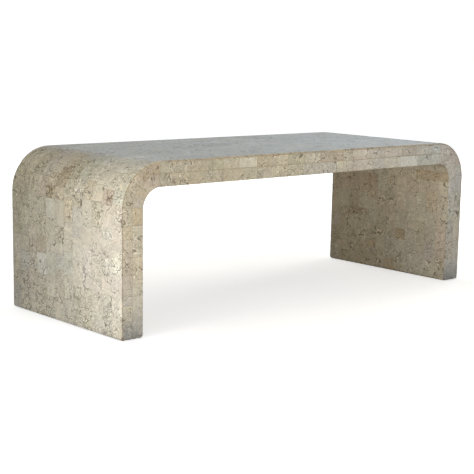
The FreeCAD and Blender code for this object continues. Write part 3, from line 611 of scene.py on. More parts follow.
# ----------------------------------------------------------------------------- materials
class Mat:
    """A material with one Principled shader, and short ways to make the nodes that feed it."""

    def __init__(self, name):
        self.mat = bpy.data.materials.new(name)
        self.mat.use_nodes = True
        self.nt = self.mat.node_tree
        self.nt.nodes.clear()
        self.out = self.nt.nodes.new("ShaderNodeOutputMaterial")
        self.bsdf = self.nt.nodes.new("ShaderNodeBsdfPrincipled")
        self.nt.links.new(self.bsdf.outputs[0], self.out.inputs["Surface"])

    def put(self, socket, value):
        if isinstance(value, bpy.types.NodeSocket):
            self.nt.links.new(value, socket)
        elif value is not None:
            socket.default_value = value

    def node(self, kind, out=0, props=None, **inputs):
        n = self.nt.nodes.new(kind)
        for k, v in (props or {}).items():
            setattr(n, k, v)
        for k, v in inputs.items():
            self.put(n.inputs[k.replace("_", " ")], v)
        return n.outputs[out]

    def attr(self, name, out="Color"):
        return self.node("ShaderNodeAttribute", out, {"attribute_name": name})

    def split(self, colour):
        n = self.nt.nodes.new("ShaderNodeSeparateColor")
        self.put(n.inputs[0], colour)
        return n.outputs[0], n.outputs[1], n.outputs[2]

    def xyz(self, vector):
        n = self.nt.nodes.new("ShaderNodeSeparateXYZ")
        self.put(n.inputs[0], vector)
        return n.outputs[0], n.outputs[1], n.outputs[2]

    def join(self, x, y, z):
        n = self.nt.nodes.new("ShaderNodeCombineXYZ")
        for i, v in enumerate((x, y, z)):
            self.put(n.inputs[i], v)
        return n.outputs[0]

    def math(self, op, a, b=None, c=None, clamp=False):
        n = self.nt.nodes.new("ShaderNodeMath")
        n.operation = op
        n.use_clamp = clamp
        for i, v in enumerate((a, b, c)):
            if v is not None:
                self.put(n.inputs[i], v)
        return n.outputs[0]

    def mul(self, a, b):
        return self.math("MULTIPLY", a, b)

    def add(self, a, b):
        return self.math("ADD", a, b)

    def sub(self, a, b):
        return self.math("SUBTRACT", a, b)

    def vec(self, op, a, b=None, scale=None):
        n = self.nt.nodes.new("ShaderNodeVectorMath")
        n.operation = op
        self.put(n.inputs[0], a)
        if b is not None:
            self.put(n.inputs[1], b)
        if scale is not None:
            self.put(n.inputs["Scale"], scale)
        return n.outputs["Value" if op in ("LENGTH", "DOT_PRODUCT", "DISTANCE") else "Vector"]

    def mix(self, fac, a, b, blend="MIX"):
        n = self.nt.nodes.new("ShaderNodeMix")
        n.data_type = "RGBA"
        n.blend_type = blend
        self.put(n.inputs[0], fac)
        self.put(n.inputs[6], a)
        self.put(n.inputs[7], b)
        return n.outputs[2]

    def scale(self, colour, by):
        """The colour times a number."""
        return self.vec("SCALE", colour, scale=by)

    def step(self, v, low, high, a=0.0, b=1.0):
        n = self.nt.nodes.new("ShaderNodeMapRange")
        n.interpolation_type = "SMOOTHSTEP"
        self.put(n.inputs["Value"], v)
        self.put(n.inputs["From Min"], low)
        self.put(n.inputs["From Max"], high)
        self.put(n.inputs["To Min"], a)
        self.put(n.inputs["To Max"], b)
        return n.outputs[0]

    def ramp(self, v, low, high, a, b):
        n = self.nt.nodes.new("ShaderNodeMapRange")
        n.interpolation_type = "LINEAR"
        for k, x in (("Value", v), ("From Min", low), ("From Max", high), ("To Min", a), ("To Max", b)):
            self.put(n.inputs[k], x)
        return n.outputs[0]

    def noise(self, vec, scale, detail=2.0, rough=0.5, out=0, distort=0.0):
        return self.node(
            "ShaderNodeTexNoise", out, Vector=vec, Scale=scale, Detail=detail, Roughness=rough, Distortion=distort
        )

    def cells(self, vec, scale, feature="F1", out="Distance", rand=1.0):
        n = self.nt.nodes.new("ShaderNodeTexVoronoi")
        n.feature = feature
        self.put(n.inputs["Vector"], vec)
        self.put(n.inputs["Scale"], scale)
        self.put(n.inputs["Randomness"], rand)
        return n.outputs[out]

    def warp(self, vec, scale, amount, detail=2.0):
        n = self.noise(vec, scale, detail, 0.55, out=1)
        d = self.vec("SUBTRACT", n, (0.5, 0.5, 0.5))
        return self.vec("ADD", vec, self.vec("SCALE", d, scale=amount))

    def bump(self, height, distance, strength=1.0):
        b = self.node("ShaderNodeBump", Height=height, Distance=distance, Strength=strength)
        self.nt.links.new(b, self.bsdf.inputs["Normal"])

    def set(self, **inputs):
        for k, v in inputs.items():
            self.put(self.bsdf.inputs[k.replace("_", " ")], v)
        return self.mat


def stone(name, cut=False):
    """The polished fossil marble of the tiles. Each tile's stone is set by its mesh's attributes."""
    m = Mat(name)
    at = m.attr("stone_at", "Vector")
    tint = m.attr("stone_tint")
    vein, speck, arc = m.split(m.attr("stone_mix"))
    streak = m.attr("stone_mix", "Alpha")
    crack, white, pit = m.split(m.attr("stone_more"))
    stain = m.attr("stone_more", "Alpha")
    edge = m.attr("stone_edge", "Fac")

    p1 = m.warp(at, 70, 0.0055, 3)
    p2 = m.warp(p1, 21, 0.016, 1)

    col = tint
    # Clouds as wide as a tile, then patches of a few millimetres.
    cloud = m.noise(at, 26, 4, 0.6)
    col = m.scale(col, m.ramp(cloud, 0.30, 0.70, 0.94, 1.05))
    patch = m.noise(p1, 88, 5, 0.62)
    brown = m.mul(m.step(patch, 0.50, 0.70), m.ramp(stain, 0, 1, 0.20, 0.75))
    col = m.mix(brown, col, m.vec("MULTIPLY", col, (0.80, 0.70, 0.56)))
    pale = m.mul(m.step(m.noise(p1, 64, 5, 0.65, distort=0.4), 0.55, 0.66), m.ramp(white, 0, 1, 0.15, 0.8))
    col = m.mix(pale, col, m.mix(0.55, col, (0.80, 0.775, 0.70, 1)))
    # Shell fragments: cells of unlike tone, with darker outlines.
    frag = m.cells(p1, 105, out="Color")
    fr, fg, _ = m.split(frag)
    col = m.scale(col, m.add(1.0, m.mul(m.sub(fr, 0.5), m.ramp(arc, 0, 1, 0.06, 0.24))))
    shell = m.cells(p1, 105, "DISTANCE_TO_EDGE")
    outline = m.mul(m.step(shell, 0.075, 0.015), m.step(fg, 0.50, 0.62))
    col = m.mix(m.mul(outline, m.ramp(arc, 0, 1, 0.10, 0.55)), col, m.vec("MULTIPLY", col, (0.50, 0.42, 0.33)))
    # Grain: crystals of 3 mm and a fine salt and pepper.
    gr, gg, _ = m.split(m.cells(at, 380, out="Color"))
    col = m.scale(col, m.add(1.0, m.mul(m.sub(gr, 0.5), m.ramp(speck, 0, 1, 0.05, 0.30))))
    fine = m.noise(at, 900, 2, 0.6)
    col = m.scale(col, m.ramp(fine, 0.3, 0.7, 0.94, 1.06))
    # The specks come in drifts: some of a stone is clean, some of it crowded.
    drift = m.step(m.noise(at, 30, 2, 0.55), 0.40, 0.60, 0.25, 1.0)
    fleck = m.mul(m.step(m.noise(at, 300, 3, 0.6), 0.545, 0.63), m.mul(drift, m.ramp(speck, 0, 1, 0.08, 0.38)))
    col = m.mix(fleck, col, m.vec("MULTIPLY", col, (0.56, 0.48, 0.39)))
    light = m.mul(m.step(m.noise(m.vec("ADD", at, (3.1, 1.7, 0.4)), 260, 3, 0.6), 0.55, 0.64), m.ramp(speck, 0, 1, 0.25, 0.7))
    col = m.mix(light, col, m.vec("MULTIPLY", col, (1.22, 1.23, 1.26)))
    dash = m.noise(p1, 150, 3, 0.6)
    dashes = m.mul(m.step(dash, 0.575, 0.635), m.step(m.noise(at, 36, 1, 0.5), 0.48, 0.60))
    col = m.mix(m.mul(dashes, 0.25), col, m.vec("MULTIPLY", col, (0.46, 0.37, 0.28)))
    # Squiggles: where a noise passes through one value, from a few millimetres to a few centimetres long.
    swell = m.ramp(m.noise(at, 110, 2, 0.5), 0.33, 0.67, 0.35, 1.15)

    def trace(p, scale, detail, wide, level=0.5):
        """A dark line, and the pale one that keeps it company on one side."""
        half = m.mul(swell, wide * scale * 0.32)
        gap = m.sub(m.noise(p, scale, detail, 0.5), level)
        beside = m.math("ABSOLUTE", m.sub(gap, m.mul(half, 2.1)))
        return m.step(m.math("ABSOLUTE", gap), half, m.mul(half, 0.4)), m.step(beside, half, m.mul(half, 0.4))

    p0 = m.warp(at, 40, 0.006, 3)
    for p, scale, detail, wide, level, gate, low, much, shade in (
        (p0, 64, 1, 0.0011, 0.50, 24, 0.49, 0.62, (0.43, 0.40, 0.345)),
        (p0, 36, 1, 0.0015, 0.52, 16, 0.45, 0.74, (0.39, 0.365, 0.31)),
        (p0, 21, 1, 0.0018, 0.47, 11, 0.44, 0.84, (0.36, 0.33, 0.28)),
        (p0, 13, 2, 0.0021, 0.54, 9, 0.43, 0.88, (0.34, 0.31, 0.26)),
    ):
        low = m.ramp(vein, 0.1, 0.8, low + 0.05, low - 0.05)
        dark, pale = trace(p, scale, detail, wide, level)
        here = m.step(m.noise(at, gate, 1, 0.5), low, m.add(low, 0.06))
        col = m.mix(m.mul(pale, m.mul(here, 0.95)), col, m.vec("MULTIPLY", col, (1.22, 1.25, 1.31)))
        col = m.mix(m.mul(dark, m.mul(here, much)), col, m.vec("MULTIPLY", col, shade))
    # Growth rings of shells and corals: fine arcs about the middles of some cells.
    growth = m.cells(p0, 38)
    gr1, gr2, _ = m.split(m.cells(p0, 38, out="Color"))
    beat = m.math("ABSOLUTE", m.sub(m.math("FRACT", m.mul(growth, m.ramp(gr2, 0, 1, 5.2, 7.6))), 0.5))
    arcs = m.mul(m.step(beat, 0.17, 0.07), m.mul(m.step(gr1, 0.50, 0.56), m.step(growth, 0.72, 0.60)))
    arcs = m.mul(arcs, m.step(m.noise(at, 60, 1, 0.5), 0.40, 0.50))
    col = m.mix(m.mul(arcs, m.ramp(arc, 0, 1, 0.25, 0.75)), col, m.vec("MULTIPLY", col, (0.56, 0.48, 0.38)))
    # Bedding: streaks along one way of the stone.
    sx, sy, sz = m.xyz(at)
    flat = m.join(sx, m.mul(sy, 0.14), sz)
    bed = m.noise(m.warp(flat, 60, 0.004, 2), 190, 4, 0.6)
    col = m.scale(col, m.add(1.0, m.mul(m.sub(bed, 0.5), m.mul(streak, 0.75))))
    # Veins: broken brown lines, wide and narrow along their length.
    swing = m.noise(at, 140, 2, 0.5)
    line1 = m.cells(p2, 30, "DISTANCE_TO_EDGE")
    wide1 = m.ramp(swing, 0.35, 0.65, 0.012, 0.052)
    v1 = m.mul(
        m.step(line1, wide1, m.mul(wide1, 0.35)),
        m.step(m.noise(at, 34, 2, 0.6), m.ramp(vein, 0, 1, 0.70, 0.43), m.ramp(vein, 0, 1, 0.76, 0.50)),
    )
    line2 = m.cells(p1, 82, "DISTANCE_TO_EDGE")
    wide2 = m.ramp(swing, 0.35, 0.65, 0.02, 0.085)
    v2 = m.mul(
        m.step(line2, wide2, m.mul(wide2, 0.3)),
        m.step(m.noise(at, 52, 2, 0.6), m.ramp(vein, 0, 1, 0.72, 0.47), m.ramp(vein, 0, 1, 0.78, 0.54)),
    )
    # Long cracks and the curls of shells, where a slow noise passes through one value.
    slow = m.noise(p1, 20, 3, 0.5)
    far = m.math("ABSOLUTE", m.sub(slow, 0.5))
    c1 = m.mul(
        m.step(far, m.ramp(swing, 0.35, 0.65, 0.004, 0.015), 0.001),
        m.step(m.noise(at, 13, 1, 0.5), m.ramp(crack, 0, 1, 0.60, 0.36), m.ramp(crack, 0, 1, 0.64, 0.40)),
    )
    curl = m.cells(p2, 40)
    ring = m.math("ABSOLUTE", m.sub(curl, m.ramp(m.noise(at, 15, 1, 0.5), 0.35, 0.65, 0.26, 0.42)))
    c2 = m.mul(
        m.step(ring, 0.030, 0.006),
        m.step(m.noise(at, 60, 1, 0.5), m.ramp(arc, 0, 1, 0.66, 0.46), m.ramp(arc, 0, 1, 0.71, 0.51)),
    )
    inside = m.mul(m.step(curl, 0.30, 0.22), m.step(m.noise(at, 13, 1, 0.5), 0.58, 0.62))
    col = m.mix(m.mul(inside, m.mul(arc, 0.35)), col, m.mix(0.5, col, (0.76, 0.72, 0.63, 1)))
    dark = m.mix(m.step(m.noise(at, 120, 2, 0.5), 0.4, 0.6), (0.115, 0.099, 0.074, 1), (0.222, 0.193, 0.142, 1))
    lines_ = m.math("MAXIMUM", m.math("MAXIMUM", m.mul(v1, 0.80), m.mul(v2, 0.62)), m.math("MAXIMUM", m.mul(c1, 0.85), m.mul(c2, 0.60)))
    col = m.mix(lines_, col, dark)
    # A brown stain spreads from the veins into the stone.
    halo = m.mul(m.math("MAXIMUM", m.mul(m.step(line1, 0.16, 0.0), v_mask(m, at, vein)), m.step(far, 0.05, 0.0)), m.mul(stain, 0.35))
    col = m.mix(halo, col, m.vec("MULTIPLY", col, (0.78, 0.66, 0.50)))
    # Small open pits.
    hole = m.cells(at, 150, out="Distance")
    hr, hg, _ = m.split(m.cells(at, 150, out="Color"))
    pits = m.mul(m.step(hole, m.ramp(hg, 0, 1, 0.14, 0.36), m.ramp(hg, 0, 1, 0.08, 0.22)), m.step(hr, m.ramp(pit, 0, 1, 0.99, 0.93), m.ramp(pit, 0, 1, 0.995, 0.94)))
    col = m.mix(m.mul(pits, 0.85), col, (0.085, 0.062, 0.042, 1))
    # Edges are a touch darker where polish and dirt gather, and raw where they are chipped.
    rim = m.mul(m.math("MINIMUM", edge, 1.0), m.step(m.noise(at, 120, 2, 0.6), 0.30, 0.62))
    col = m.mix(m.mul(rim, 0.10), col, m.vec("MULTIPLY", col, (0.55, 0.48, 0.40)))
    raw = m.step(edge, 1.15, 1.7)
    col = m.mix(m.mul(raw, 0.60), col, m.vec("MULTIPLY", col, (0.64, 0.58, 0.50)))
    if cut:
        col = m.vec("MULTIPLY", col, (0.86, 0.83, 0.79))
    rough = m.add(m.ramp(patch, 0.3, 0.7, 0.27, 0.37), m.mul(m.math("MAXIMUM", pits, m.mul(lines_, 0.5)), 0.28))
    rough = m.math("MAXIMUM", rough, m.mul(raw, 0.62))
    if cut:
        rough = m.add(rough, 0.22)
    relief = m.add(m.mul(fine, 0.05), m.mul(patch, 0.16))
    relief = m.sub(relief, m.add(m.mul(pits, 0.9), m.mul(lines_, 0.30)))
    relief = m.sub(relief, m.mul(raw, m.mul(m.noise(at, 700, 3, 0.6), 1.6)))
    m.bump(relief, 0.0004, 0.8)
    mat = m.set(Base_Color=col, Roughness=rough)
    m.bsdf.inputs["IOR"].default_value = 1.5
    m.bsdf.inputs["Specular IOR Level"].default_value = 0.5
    m.bsdf.inputs["Coat Weight"].default_value = 0.0
    return mat


def v_mask(m, at, vein):
    return m.step(m.noise(at, 34, 2, 0.6), m.ramp(vein, 0, 1, 0.66, 0.40), m.ramp(vein, 0, 1, 0.78, 0.52))


def resin():
    """The tinted resin in the joints, ground almost flush with the stone."""
    m = Mat("joint_resin")
    at = m.attr("stone_at", "Vector")
    col = m.mix(m.step(m.noise(at, 60, 3, 0.6), 0.35, 0.65), (0.30, 0.25, 0.18, 1), (0.50, 0.44, 0.34, 1))
    col = m.scale(col, m.ramp(m.noise(at, 900, 2, 0.6), 0.3, 0.7, 0.8, 1.2))
    m.bump(m.noise(at, 800, 3, 0.6), 0.0002, 0.6)
    return m.set(Base_Color=col, Roughness=m.ramp(m.noise(at, 200, 2, 0.5), 0.3, 0.7, 0.38, 0.6))


def timber(name, along, early, late, ring=0.0042, pith=(0.045, -0.03)):
    """Sawn softwood with its growth rings cut lengthwise. along is the axis of the grain."""
    m = Mat(name)
    at = m.node("ShaderNodeTexCoord", "Object")
    x, y, z = m.xyz(at)
    a, b, c = {"x": (x, y, z), "y": (y, z, x), "z": (z, x, y)}[along]
    # The grain runs along a; b and c are across it.
    slow = m.join(m.mul(a, 2.2), m.mul(b, 9.0), m.mul(c, 9.0))
    drift = m.mul(m.sub(m.noise(slow, 1.0, 3, 0.55), 0.5), 0.022)
    r = m.vec("LENGTH", m.join(m.add(b, pith[0]), m.add(c, pith[1]), 0.0))
    turn = m.math("FRACT", m.math("DIVIDE", m.add(r, drift), ring))
    late_ = m.mul(m.step(turn, 0.45, 0.93), m.step(turn, 1.0, 0.95))
    col = m.mix(late_, (*early, 1), (*late, 1))
    fibre = m.noise(m.join(m.mul(a, 14.0), m.mul(b, 620.0), m.mul(c, 620.0)), 1.0, 4, 0.65)
    col = m.scale(col, m.ramp(fibre, 0.3, 0.7, 0.86, 1.12))
    stain = m.noise(m.join(m.mul(a, 3.0), m.mul(b, 30.0), m.mul(c, 30.0)), 1.0, 3, 0.6)
    col = m.mix(m.mul(m.step(stain, 0.5, 0.75), 0.4), col, m.vec("MULTIPLY", col, (0.84, 0.72, 0.56)))
    knot = m.cells(m.join(m.mul(a, 3.1), m.mul(b, 11.0), m.mul(c, 11.0)), 1.0)
    k = m.step(knot, 0.16, 0.05)
    col = m.mix(m.mul(k, 0.7), col, (0.16, 0.075, 0.03, 1))
    saw = m.math("SINE", m.mul(a, 1900.0))
    m.bump(m.add(m.mul(fibre, 0.8), m.add(m.mul(late_, 0.35), m.mul(saw, 0.08))), 0.0004, 0.7)
    return m.set(Base_Color=col, Roughness=m.ramp(fibre, 0.3, 0.7, 0.55, 0.75))


def plywood(name, grain):
    """Plywood: plies of crossed veneer at its edges, rotary-cut figure on its faces."""
    m = Mat(name)
    at = m.node("ShaderNodeTexCoord", "Object")
    x, y, z = m.xyz(at)
    side = m.math("MAXIMUM", m.sub(m.math("ABSOLUTE", x), HALF), 0.0)
    rise = m.math("MAXIMUM", m.sub(z, BEND_Z), 0.0)
    depth = m.sub(R_OUT, m.vec("LENGTH", m.join(side, rise, 0.0)))
    ply = m.math("DIVIDE", m.sub(depth, 0.0041), 0.00171)
    which = m.math("FLOOR", ply)
    part = m.math("FRACT", ply)
    odd = m.math("FLOORED_MODULO", which, 2.0)
    lo = m.mix(odd, (0.62, 0.44, 0.27, 1), (0.45, 0.285, 0.155, 1))
    own = m.node("ShaderNodeTexWhiteNoise", "Value", {"noise_dimensions": "1D"}, W=which)
    col = m.scale(lo, m.ramp(own, 0, 1, 0.9, 1.1))
    a, b = (x, y) if grain == "x" else (z, y)
    fig = m.noise(m.join(m.mul(a, 5.0), m.mul(b, 34.0), m.mul(which, 0.37)), 1.0, 4, 0.6, distort=1.2)
    col = m.mix(m.mul(m.step(fig, 0.42, 0.66), 0.45), col, m.vec("MULTIPLY", col, (0.74, 0.62, 0.48)))
    fibre = m.noise(m.join(m.mul(a, 24.0), m.mul(b, 700.0), m.mul(depth, 900.0)), 1.0, 4, 0.65)
    col = m.scale(col, m.ramp(fibre, 0.3, 0.7, 0.86, 1.12))
    glue = m.math("MAXIMUM", m.step(part, 0.07, 0.02), m.step(part, 0.93, 0.98))
    col = m.mix(m.mul(glue, 0.55), col, (0.17, 0.095, 0.045, 1))
    m.bump(m.sub(fibre, m.mul(glue, 0.5)), 0.0003, 0.7)
    return m.set(Base_Color=col, Roughness=m.ramp(fibre, 0.3, 0.7, 0.52, 0.72))


def beech():
    m = Mat("dowel_beech")
    at = m.node("ShaderNodeTexCoord", "Object")
    x, y, z = m.xyz(at)
    long_ = m.noise(m.join(m.mul(x, 60.0), m.mul(y, 700.0), m.mul(z, 60.0)), 1.0, 4, 0.6)
    col = m.mix(m.step(long_, 0.35, 0.65), (0.60, 0.40, 0.24, 1), (0.71, 0.52, 0.34, 1))
    ray = m.step(m.noise(m.join(m.mul(x, 300.0), m.mul(y, 1200.0), m.mul(z, 300.0)), 1.0, 1, 0.5), 0.62, 0.70)
    col = m.mix(m.mul(ray, 0.6), col, (0.33, 0.19, 0.10, 1))
    m.bump(m.sub(long_, m.mul(ray, 0.4)), 0.0002, 0.7)
    return m.set(Base_Color=col, Roughness=m.ramp(long_, 0.3, 0.7, 0.45, 0.62))


def steel():
    m = Mat("screw_steel")
    at = m.node("ShaderNodeTexCoord", "Object")
    n1 = m.noise(at, 240, 4, 0.6)
    n2 = m.noise(at, 2500, 3, 0.6)
    col = m.mix(m.step(n1, 0.35, 0.7), (0.63, 0.60, 0.53, 1), (0.50, 0.46, 0.36, 1))
    col = m.mix(m.mul(m.step(n2, 0.60, 0.72), 0.6), col, (0.28, 0.24, 0.18, 1))
    m.bump(n2, 0.0001, 0.5)
    return m.set(Base_Color=col, Metallic=1.0, Roughness=m.ramp(n1, 0.3, 0.7, 0.26, 0.46))


def nylon():
    """Moulded nylon, scuffed where the glides slide."""
    m = Mat("glide_nylon")
    at = m.node("ShaderNodeTexCoord", "Object")
    x, y, z = m.xyz(at)
    grain = m.noise(at, 1800, 3, 0.6)
    scuff = m.noise(m.join(m.mul(x, 90.0), m.mul(y, 900.0), m.mul(z, 90.0)), 1.0, 3, 0.6)
    worn = m.mul(m.step(scuff, 0.54, 0.68), m.step(z, 0.0006, 0.0001))
    col = m.mix(m.step(m.noise(at, 120, 3, 0.5), 0.35, 0.65), (0.66, 0.64, 0.58, 1), (0.72, 0.70, 0.65, 1))
    col = m.mix(m.mul(worn, 0.6), col, (0.34, 0.31, 0.27, 1))
    m.bump(m.add(m.mul(grain, 0.3), m.mul(scuff, m.mul(worn, -0.8))), 0.0002, 0.6)
    mat = m.set(Base_Color=col, Roughness=m.ramp(scuff, 0.3, 0.7, 0.38, 0.58))
    return mat


STONE_MATS = [stone("fossil_stone"), resin(), stone("fossil_stone_cut", cut=True)]

PINE = ((0.68, 0.49, 0.29), (0.47, 0.27, 0.12))
WOODS = {
    "timber_x": timber("timber_x", "x", *PINE),
    "timber_y": timber("timber_y", "y", *PINE, ring=0.0036, pith=(-0.37, 0.02)),
    "timber_z": timber("timber_z", "z", *PINE, ring=0.0048, pith=(0.60, 0.25)),
    "plywood_x": plywood("plywood_x", "x"),
    "plywood_z": plywood("plywood_z", "z"),
    "beech": beech(),
    "steel": steel(),
    "nylon": nylon(),
}


def wood_for(name):
    if "screws" in name:
        return "steel"
    if name == "glides":
        return "nylon"
    if "dowels" in name:
        return "beech"
    if "ply" in name or name.startswith("top_") and "panel" in name or "panel" in name:
        return "plywood_x" if name.startswith("top_") else "plywood_z"
    if "splines" in name:
        return "timber_y"
    if "ribs" in name or "leg_base_rail" in name or "leg_head_rail" in name:
        return "timber_y"
    if "stile" in name:
        return "timber_z"
    return "timber_x"


# ----------------------------------------------------------------------------- the stone pieces
def outer_place(u, v, h):
    x, z = band(u, STONE - h, R_OUT)
    return np.stack([x, v, z], 1)


def inner_place(u, v, h):
    x, z = band(u, WALL - STONE + h, R_IN)
    return np.stack([x, v, z], 1)


def front_place(u, v, h):
    x, z = band(u, v, R_OUT)
    return np.stack([x, -(DEEP - STONE + h), z], 1)


def back_place(u, v, h):
    x, z = band(u, v, R_OUT)
    return np.stack([x, DEEP - STONE + h, z], 1)


def in_bend(u0, u1, ref):
    arc = ref * math.pi / 2
    for a in (LEG, total(ref) - LEG - arc):
        if u1 > a + 1e-5 and u0 < a + arc - 1e-5:
            return True
    return False


def pick(table, a, b, box):
    """The stone listed for the tile that holds the point, if any."""
    for (p, q), look in table.items():
        if box[0] <= p / 1000 <= box[1] and box[2] <= q / 1000 <= box[3]:
            return look
    return None


made = []
for node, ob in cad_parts.items():
    if not node.endswith("_stone"):
        ob.data.materials.clear()
        ob.data.materials.append(WOODS[wood_for(node)])
        ob.data.polygons.foreach_set("material_index", np.zeros(len(ob.data.polygons), np.int32))
        continue
    edge = "apron" in node or "_edge_" in node
    inner = "inner" in node or "cove" in node or "underside" in node
    ref = R_IN if inner else R_OUT
    rng = random.Random("tiles of " + node)
    if edge and "apron" in node:
        more = (0.7, 0.9, 0.8, 1, 0.7, 1, 1, 1)
    elif edge:
        more = (0.9, 1.2, 1.1, 1, 1, 1, 1, 1)
    elif node.startswith("left_leg_outer"):
        more = (1, 1.4, 1.1, 1, 1.2, 1, 1, 1)
    elif node.startswith("left_corner"):
        more = (1.6, 1.5, 1.4, 1, 1.5, 1, 1, 1)
    elif node.startswith("top_"):
        more = (0.7, 0.6, 0.8, 1.2, 0.8, 1, 0.7, 1)
    elif inner:
        more = (0.8, 0.9, 1.2, 1, 0.9, 1, 0.5, 1)
    else:
        more = (1, 1, 1, 1, 1, 1, 1, 1)
    shade_and_tint_bands = (ref, ())
    cast = (1, 1, 1)
    if edge:
        # Painted shade at the edges' feet, and a paler, bluer band above it.
        shade_and_tint_bands = (ref, ((FOOT_SHADE, 0.006, 0.080), (PALER_ABOVE_FOOT, 0.050, 0.170)))
        # Painted light and shade: the left leg's edge bands are made brighter, the right leg's bluer, the apron's a
        # little darker.
        cast = (0.95, 0.985, 0.995) if "apron" in node else (1.02, 1.055, 1.10) if "right_leg" in node else (1.10, 1.12, 1.125) if "leg" in node else (1, 1, 1)
    elif inner and "leg" in node:
        # Painted shade: the legs' inner faces darker towards their feet.
        shade_and_tint_bands = (ref, ((INNER_FOOT_SHADE, 0.0, 0.24),))
    elif node == "left_leg_outer_stone":
        shade_and_tint_bands = (ref, ((WARMER, 0.290, 0.150),))
    elif node == "left_corner_stone":
        shade_and_tint_bands = (ref, ((WARMER, 0.340, 0.460),))
    unlike = 0.62 if node.startswith("top_") else 0.66 if node.startswith("left_leg_outer") else 0.85 if "apron" in node else 0.75 if edge else 1.0
    shell = Shell(more, unlike, cast)
    tiles = []
    for pts in islands(ob):
        t, o = unband(pts[:, 0], pts[:, 2], ref)
        across = o if edge else pts[:, 1]
        # To a hundredth of a millimetre, so that tiles that begin level are always sorted the same way.
        tiles.append(tuple(round(float(v), 5) for v in (t.min(), t.max(), across.min(), across.max())))
    tiles.sort()
    last = None
    # Slabs about 130 mm across, each with its own stone: many tiles near its middle are cut from it.
    low = [min(b[0] for b in tiles), min(b[2] for b in tiles)]
    high = [max(b[1] for b in tiles), max(b[3] for b in tiles)]
    kinds = COMMON + WARM if node.startswith("right_leg_inner") else COMMON
    slabs = []
    for _ in range(max(1, round((high[0] - low[0]) * (high[1] - low[1]) / 0.13**2))):
        mid = (rng.uniform(low[0], high[0]), rng.uniform(low[1], high[1]))
        slabs.append((mid, rng.uniform(0, 2 * math.pi), [rng.uniform(-4, 4) for _ in range(3)], rng.choice(kinds)))
    for box in tiles:
        u0, u1, v0, v1 = box
        foot = ["base" if abs(u0) < 0.0006 else "joint", "base" if abs(u1 - total(ref)) < 0.0006 else "joint"]
        if edge:
            ends = ["joint", "free" if abs(v1 - WALL) < 0.0002 else "joint"]
        elif inner:
            ends = ["butt" if abs(v) > DEEP - STONE - 0.0002 else "joint" for v in (v0, v1)]
        else:
            ends = ["free" if abs(v) > DEEP - 0.0002 else "joint" for v in (v0, v1)]
        sides = [
            Side(foot[0], rng, v1 - v0, 0.0030 if edge else 0.0052),
            Side(foot[1], rng, v1 - v0, 0.0030 if edge else 0.0052),
            Side(ends[0], rng, u1 - u0),
            Side(ends[1], rng, u1 - u0),
        ]
        bent = in_bend(u0, u1, ref)
        free_v = "free" in ends
        free_u = "base" in foot
        su = 0.003 if free_v else 0.010
        if bent:
            su = min(su, 0.0055 if not inner else 0.0032)
        sv = (0.0015 if edge else 0.003) if free_u else 0.010
        turned = (0.0070, 0.0055) if edge and free_u and ends[1] == "free" else None
        look = None
        if edge and node.startswith("front"):
            look = pick(EDGE_PICKS, 0, 0, box)
        elif not edge and not inner:
            look = pick(OUTER_PICKS, 0, 0, (u0, u1, v0 + DEEP, v1 + DEEP))
        elif node.startswith("right_leg_inner"):
            look = pick(RIGHT_PICKS, 0, 0, (total(ref) - u1, total(ref) - u0, v0 + DEEP, v1 + DEEP))
        elif node.startswith("right_cove"):
            foot_ = total(ref) - LEG
            look = pick(COVE_PICKS, 0, 0, (foot_ - u1, foot_ - u0, v0 + DEEP, v1 + DEEP))
        slab = None
        own = rng.random()
        if look is None:
            look = rng.choice(kinds)
            if look == last:
                look = rng.choice(kinds)
            if own < 0.62:
                near = min(slabs, key=lambda b: math.hypot(b[0][0] - (u0 + u1) / 2, b[0][1] - (v0 + v1) / 2))
                slab, look = near[:3], near[3]
        last = look
        place = (front_place if node.startswith("front") else back_place) if edge else inner_place if inner else outer_place
        shell.add(place, box, sides, (su, sv), look, rng, bent, shade_and_tint_bands, turned, slab)
    piece = shell.build(node + "_tiles", STONE_MATS)
    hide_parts(node)
    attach(piece, "root")
    made.append(piece)

# ----------------------------------------------------------------------------- floor, light, camera
floor_mesh = bpy.data.meshes.new("floor")
ringn, radii = 96, (0.0, 0.6, 1.2, 2.5, 5.0, 10.0, 25.0, 60.0)
fv = [(0.0, 0.0, 0.0)]
for r in radii[1:]:
    for i in range(ringn):
        a = 2 * math.pi * i / ringn
        fv.append((r * math.cos(a), r * math.sin(a), 0.0))
ff = [(0, 1 + i, 1 + (i + 1) % ringn) for i in range(ringn)]
for k in range(len(radii) - 2):
    p, q = 1 + k * ringn, 1 + (k + 1) * ringn
    for i in range(ringn):
        j = (i + 1) % ringn
        ff.append((p + i, q + i, q + j, p + j))
floor_mesh.from_pydata(fv, [], ff)
floor = bpy.data.objects.new("floor", floor_mesh)
scene.collection.objects.link(floor)
fm = Mat("floor_paper")
fat = fm.node("ShaderNodeTexCoord", "Object")
fcol = fm.mix(fm.step(fm.noise(fat, 3, 3, 0.5), 0.3, 0.7), (0.62, 0.62, 0.62, 1), (0.65, 0.65, 0.65, 1))
# The room's own floor gave back little light, so the paper does too, though it looks pale itself.
seen = fm.node("ShaderNodeLightPath", "Is Camera Ray")
fcol = fm.mix(seen, (0.15, 0.145, 0.135, 1), fcol)
fm.set(Base_Color=fcol, Roughness=0.9)
fm.bsdf.inputs["Specular IOR Level"].default_value = 0.0
# A studio sweep: the paper glows on its own for the camera, a painted light, so that it meets the backdrop without a
# line; the glow is 0.58 within 0.4 m of the middle and full beyond 2.6 m, so the floor round the table is painted
# darker.
away = fm.vec("LENGTH", fat)
ray = fm.node("ShaderNodeLightPath", "Is Camera Ray")
glow = fm.mul(fm.step(away, 0.4, 2.6, 0.58, 1.0), ray)
fm.bsdf.inputs["Emission Color"].default_value = (1, 1, 1, 1)
fm.put(fm.bsdf.inputs["Emission Strength"], glow)
floor_mesh.materials.append(fm.mat)

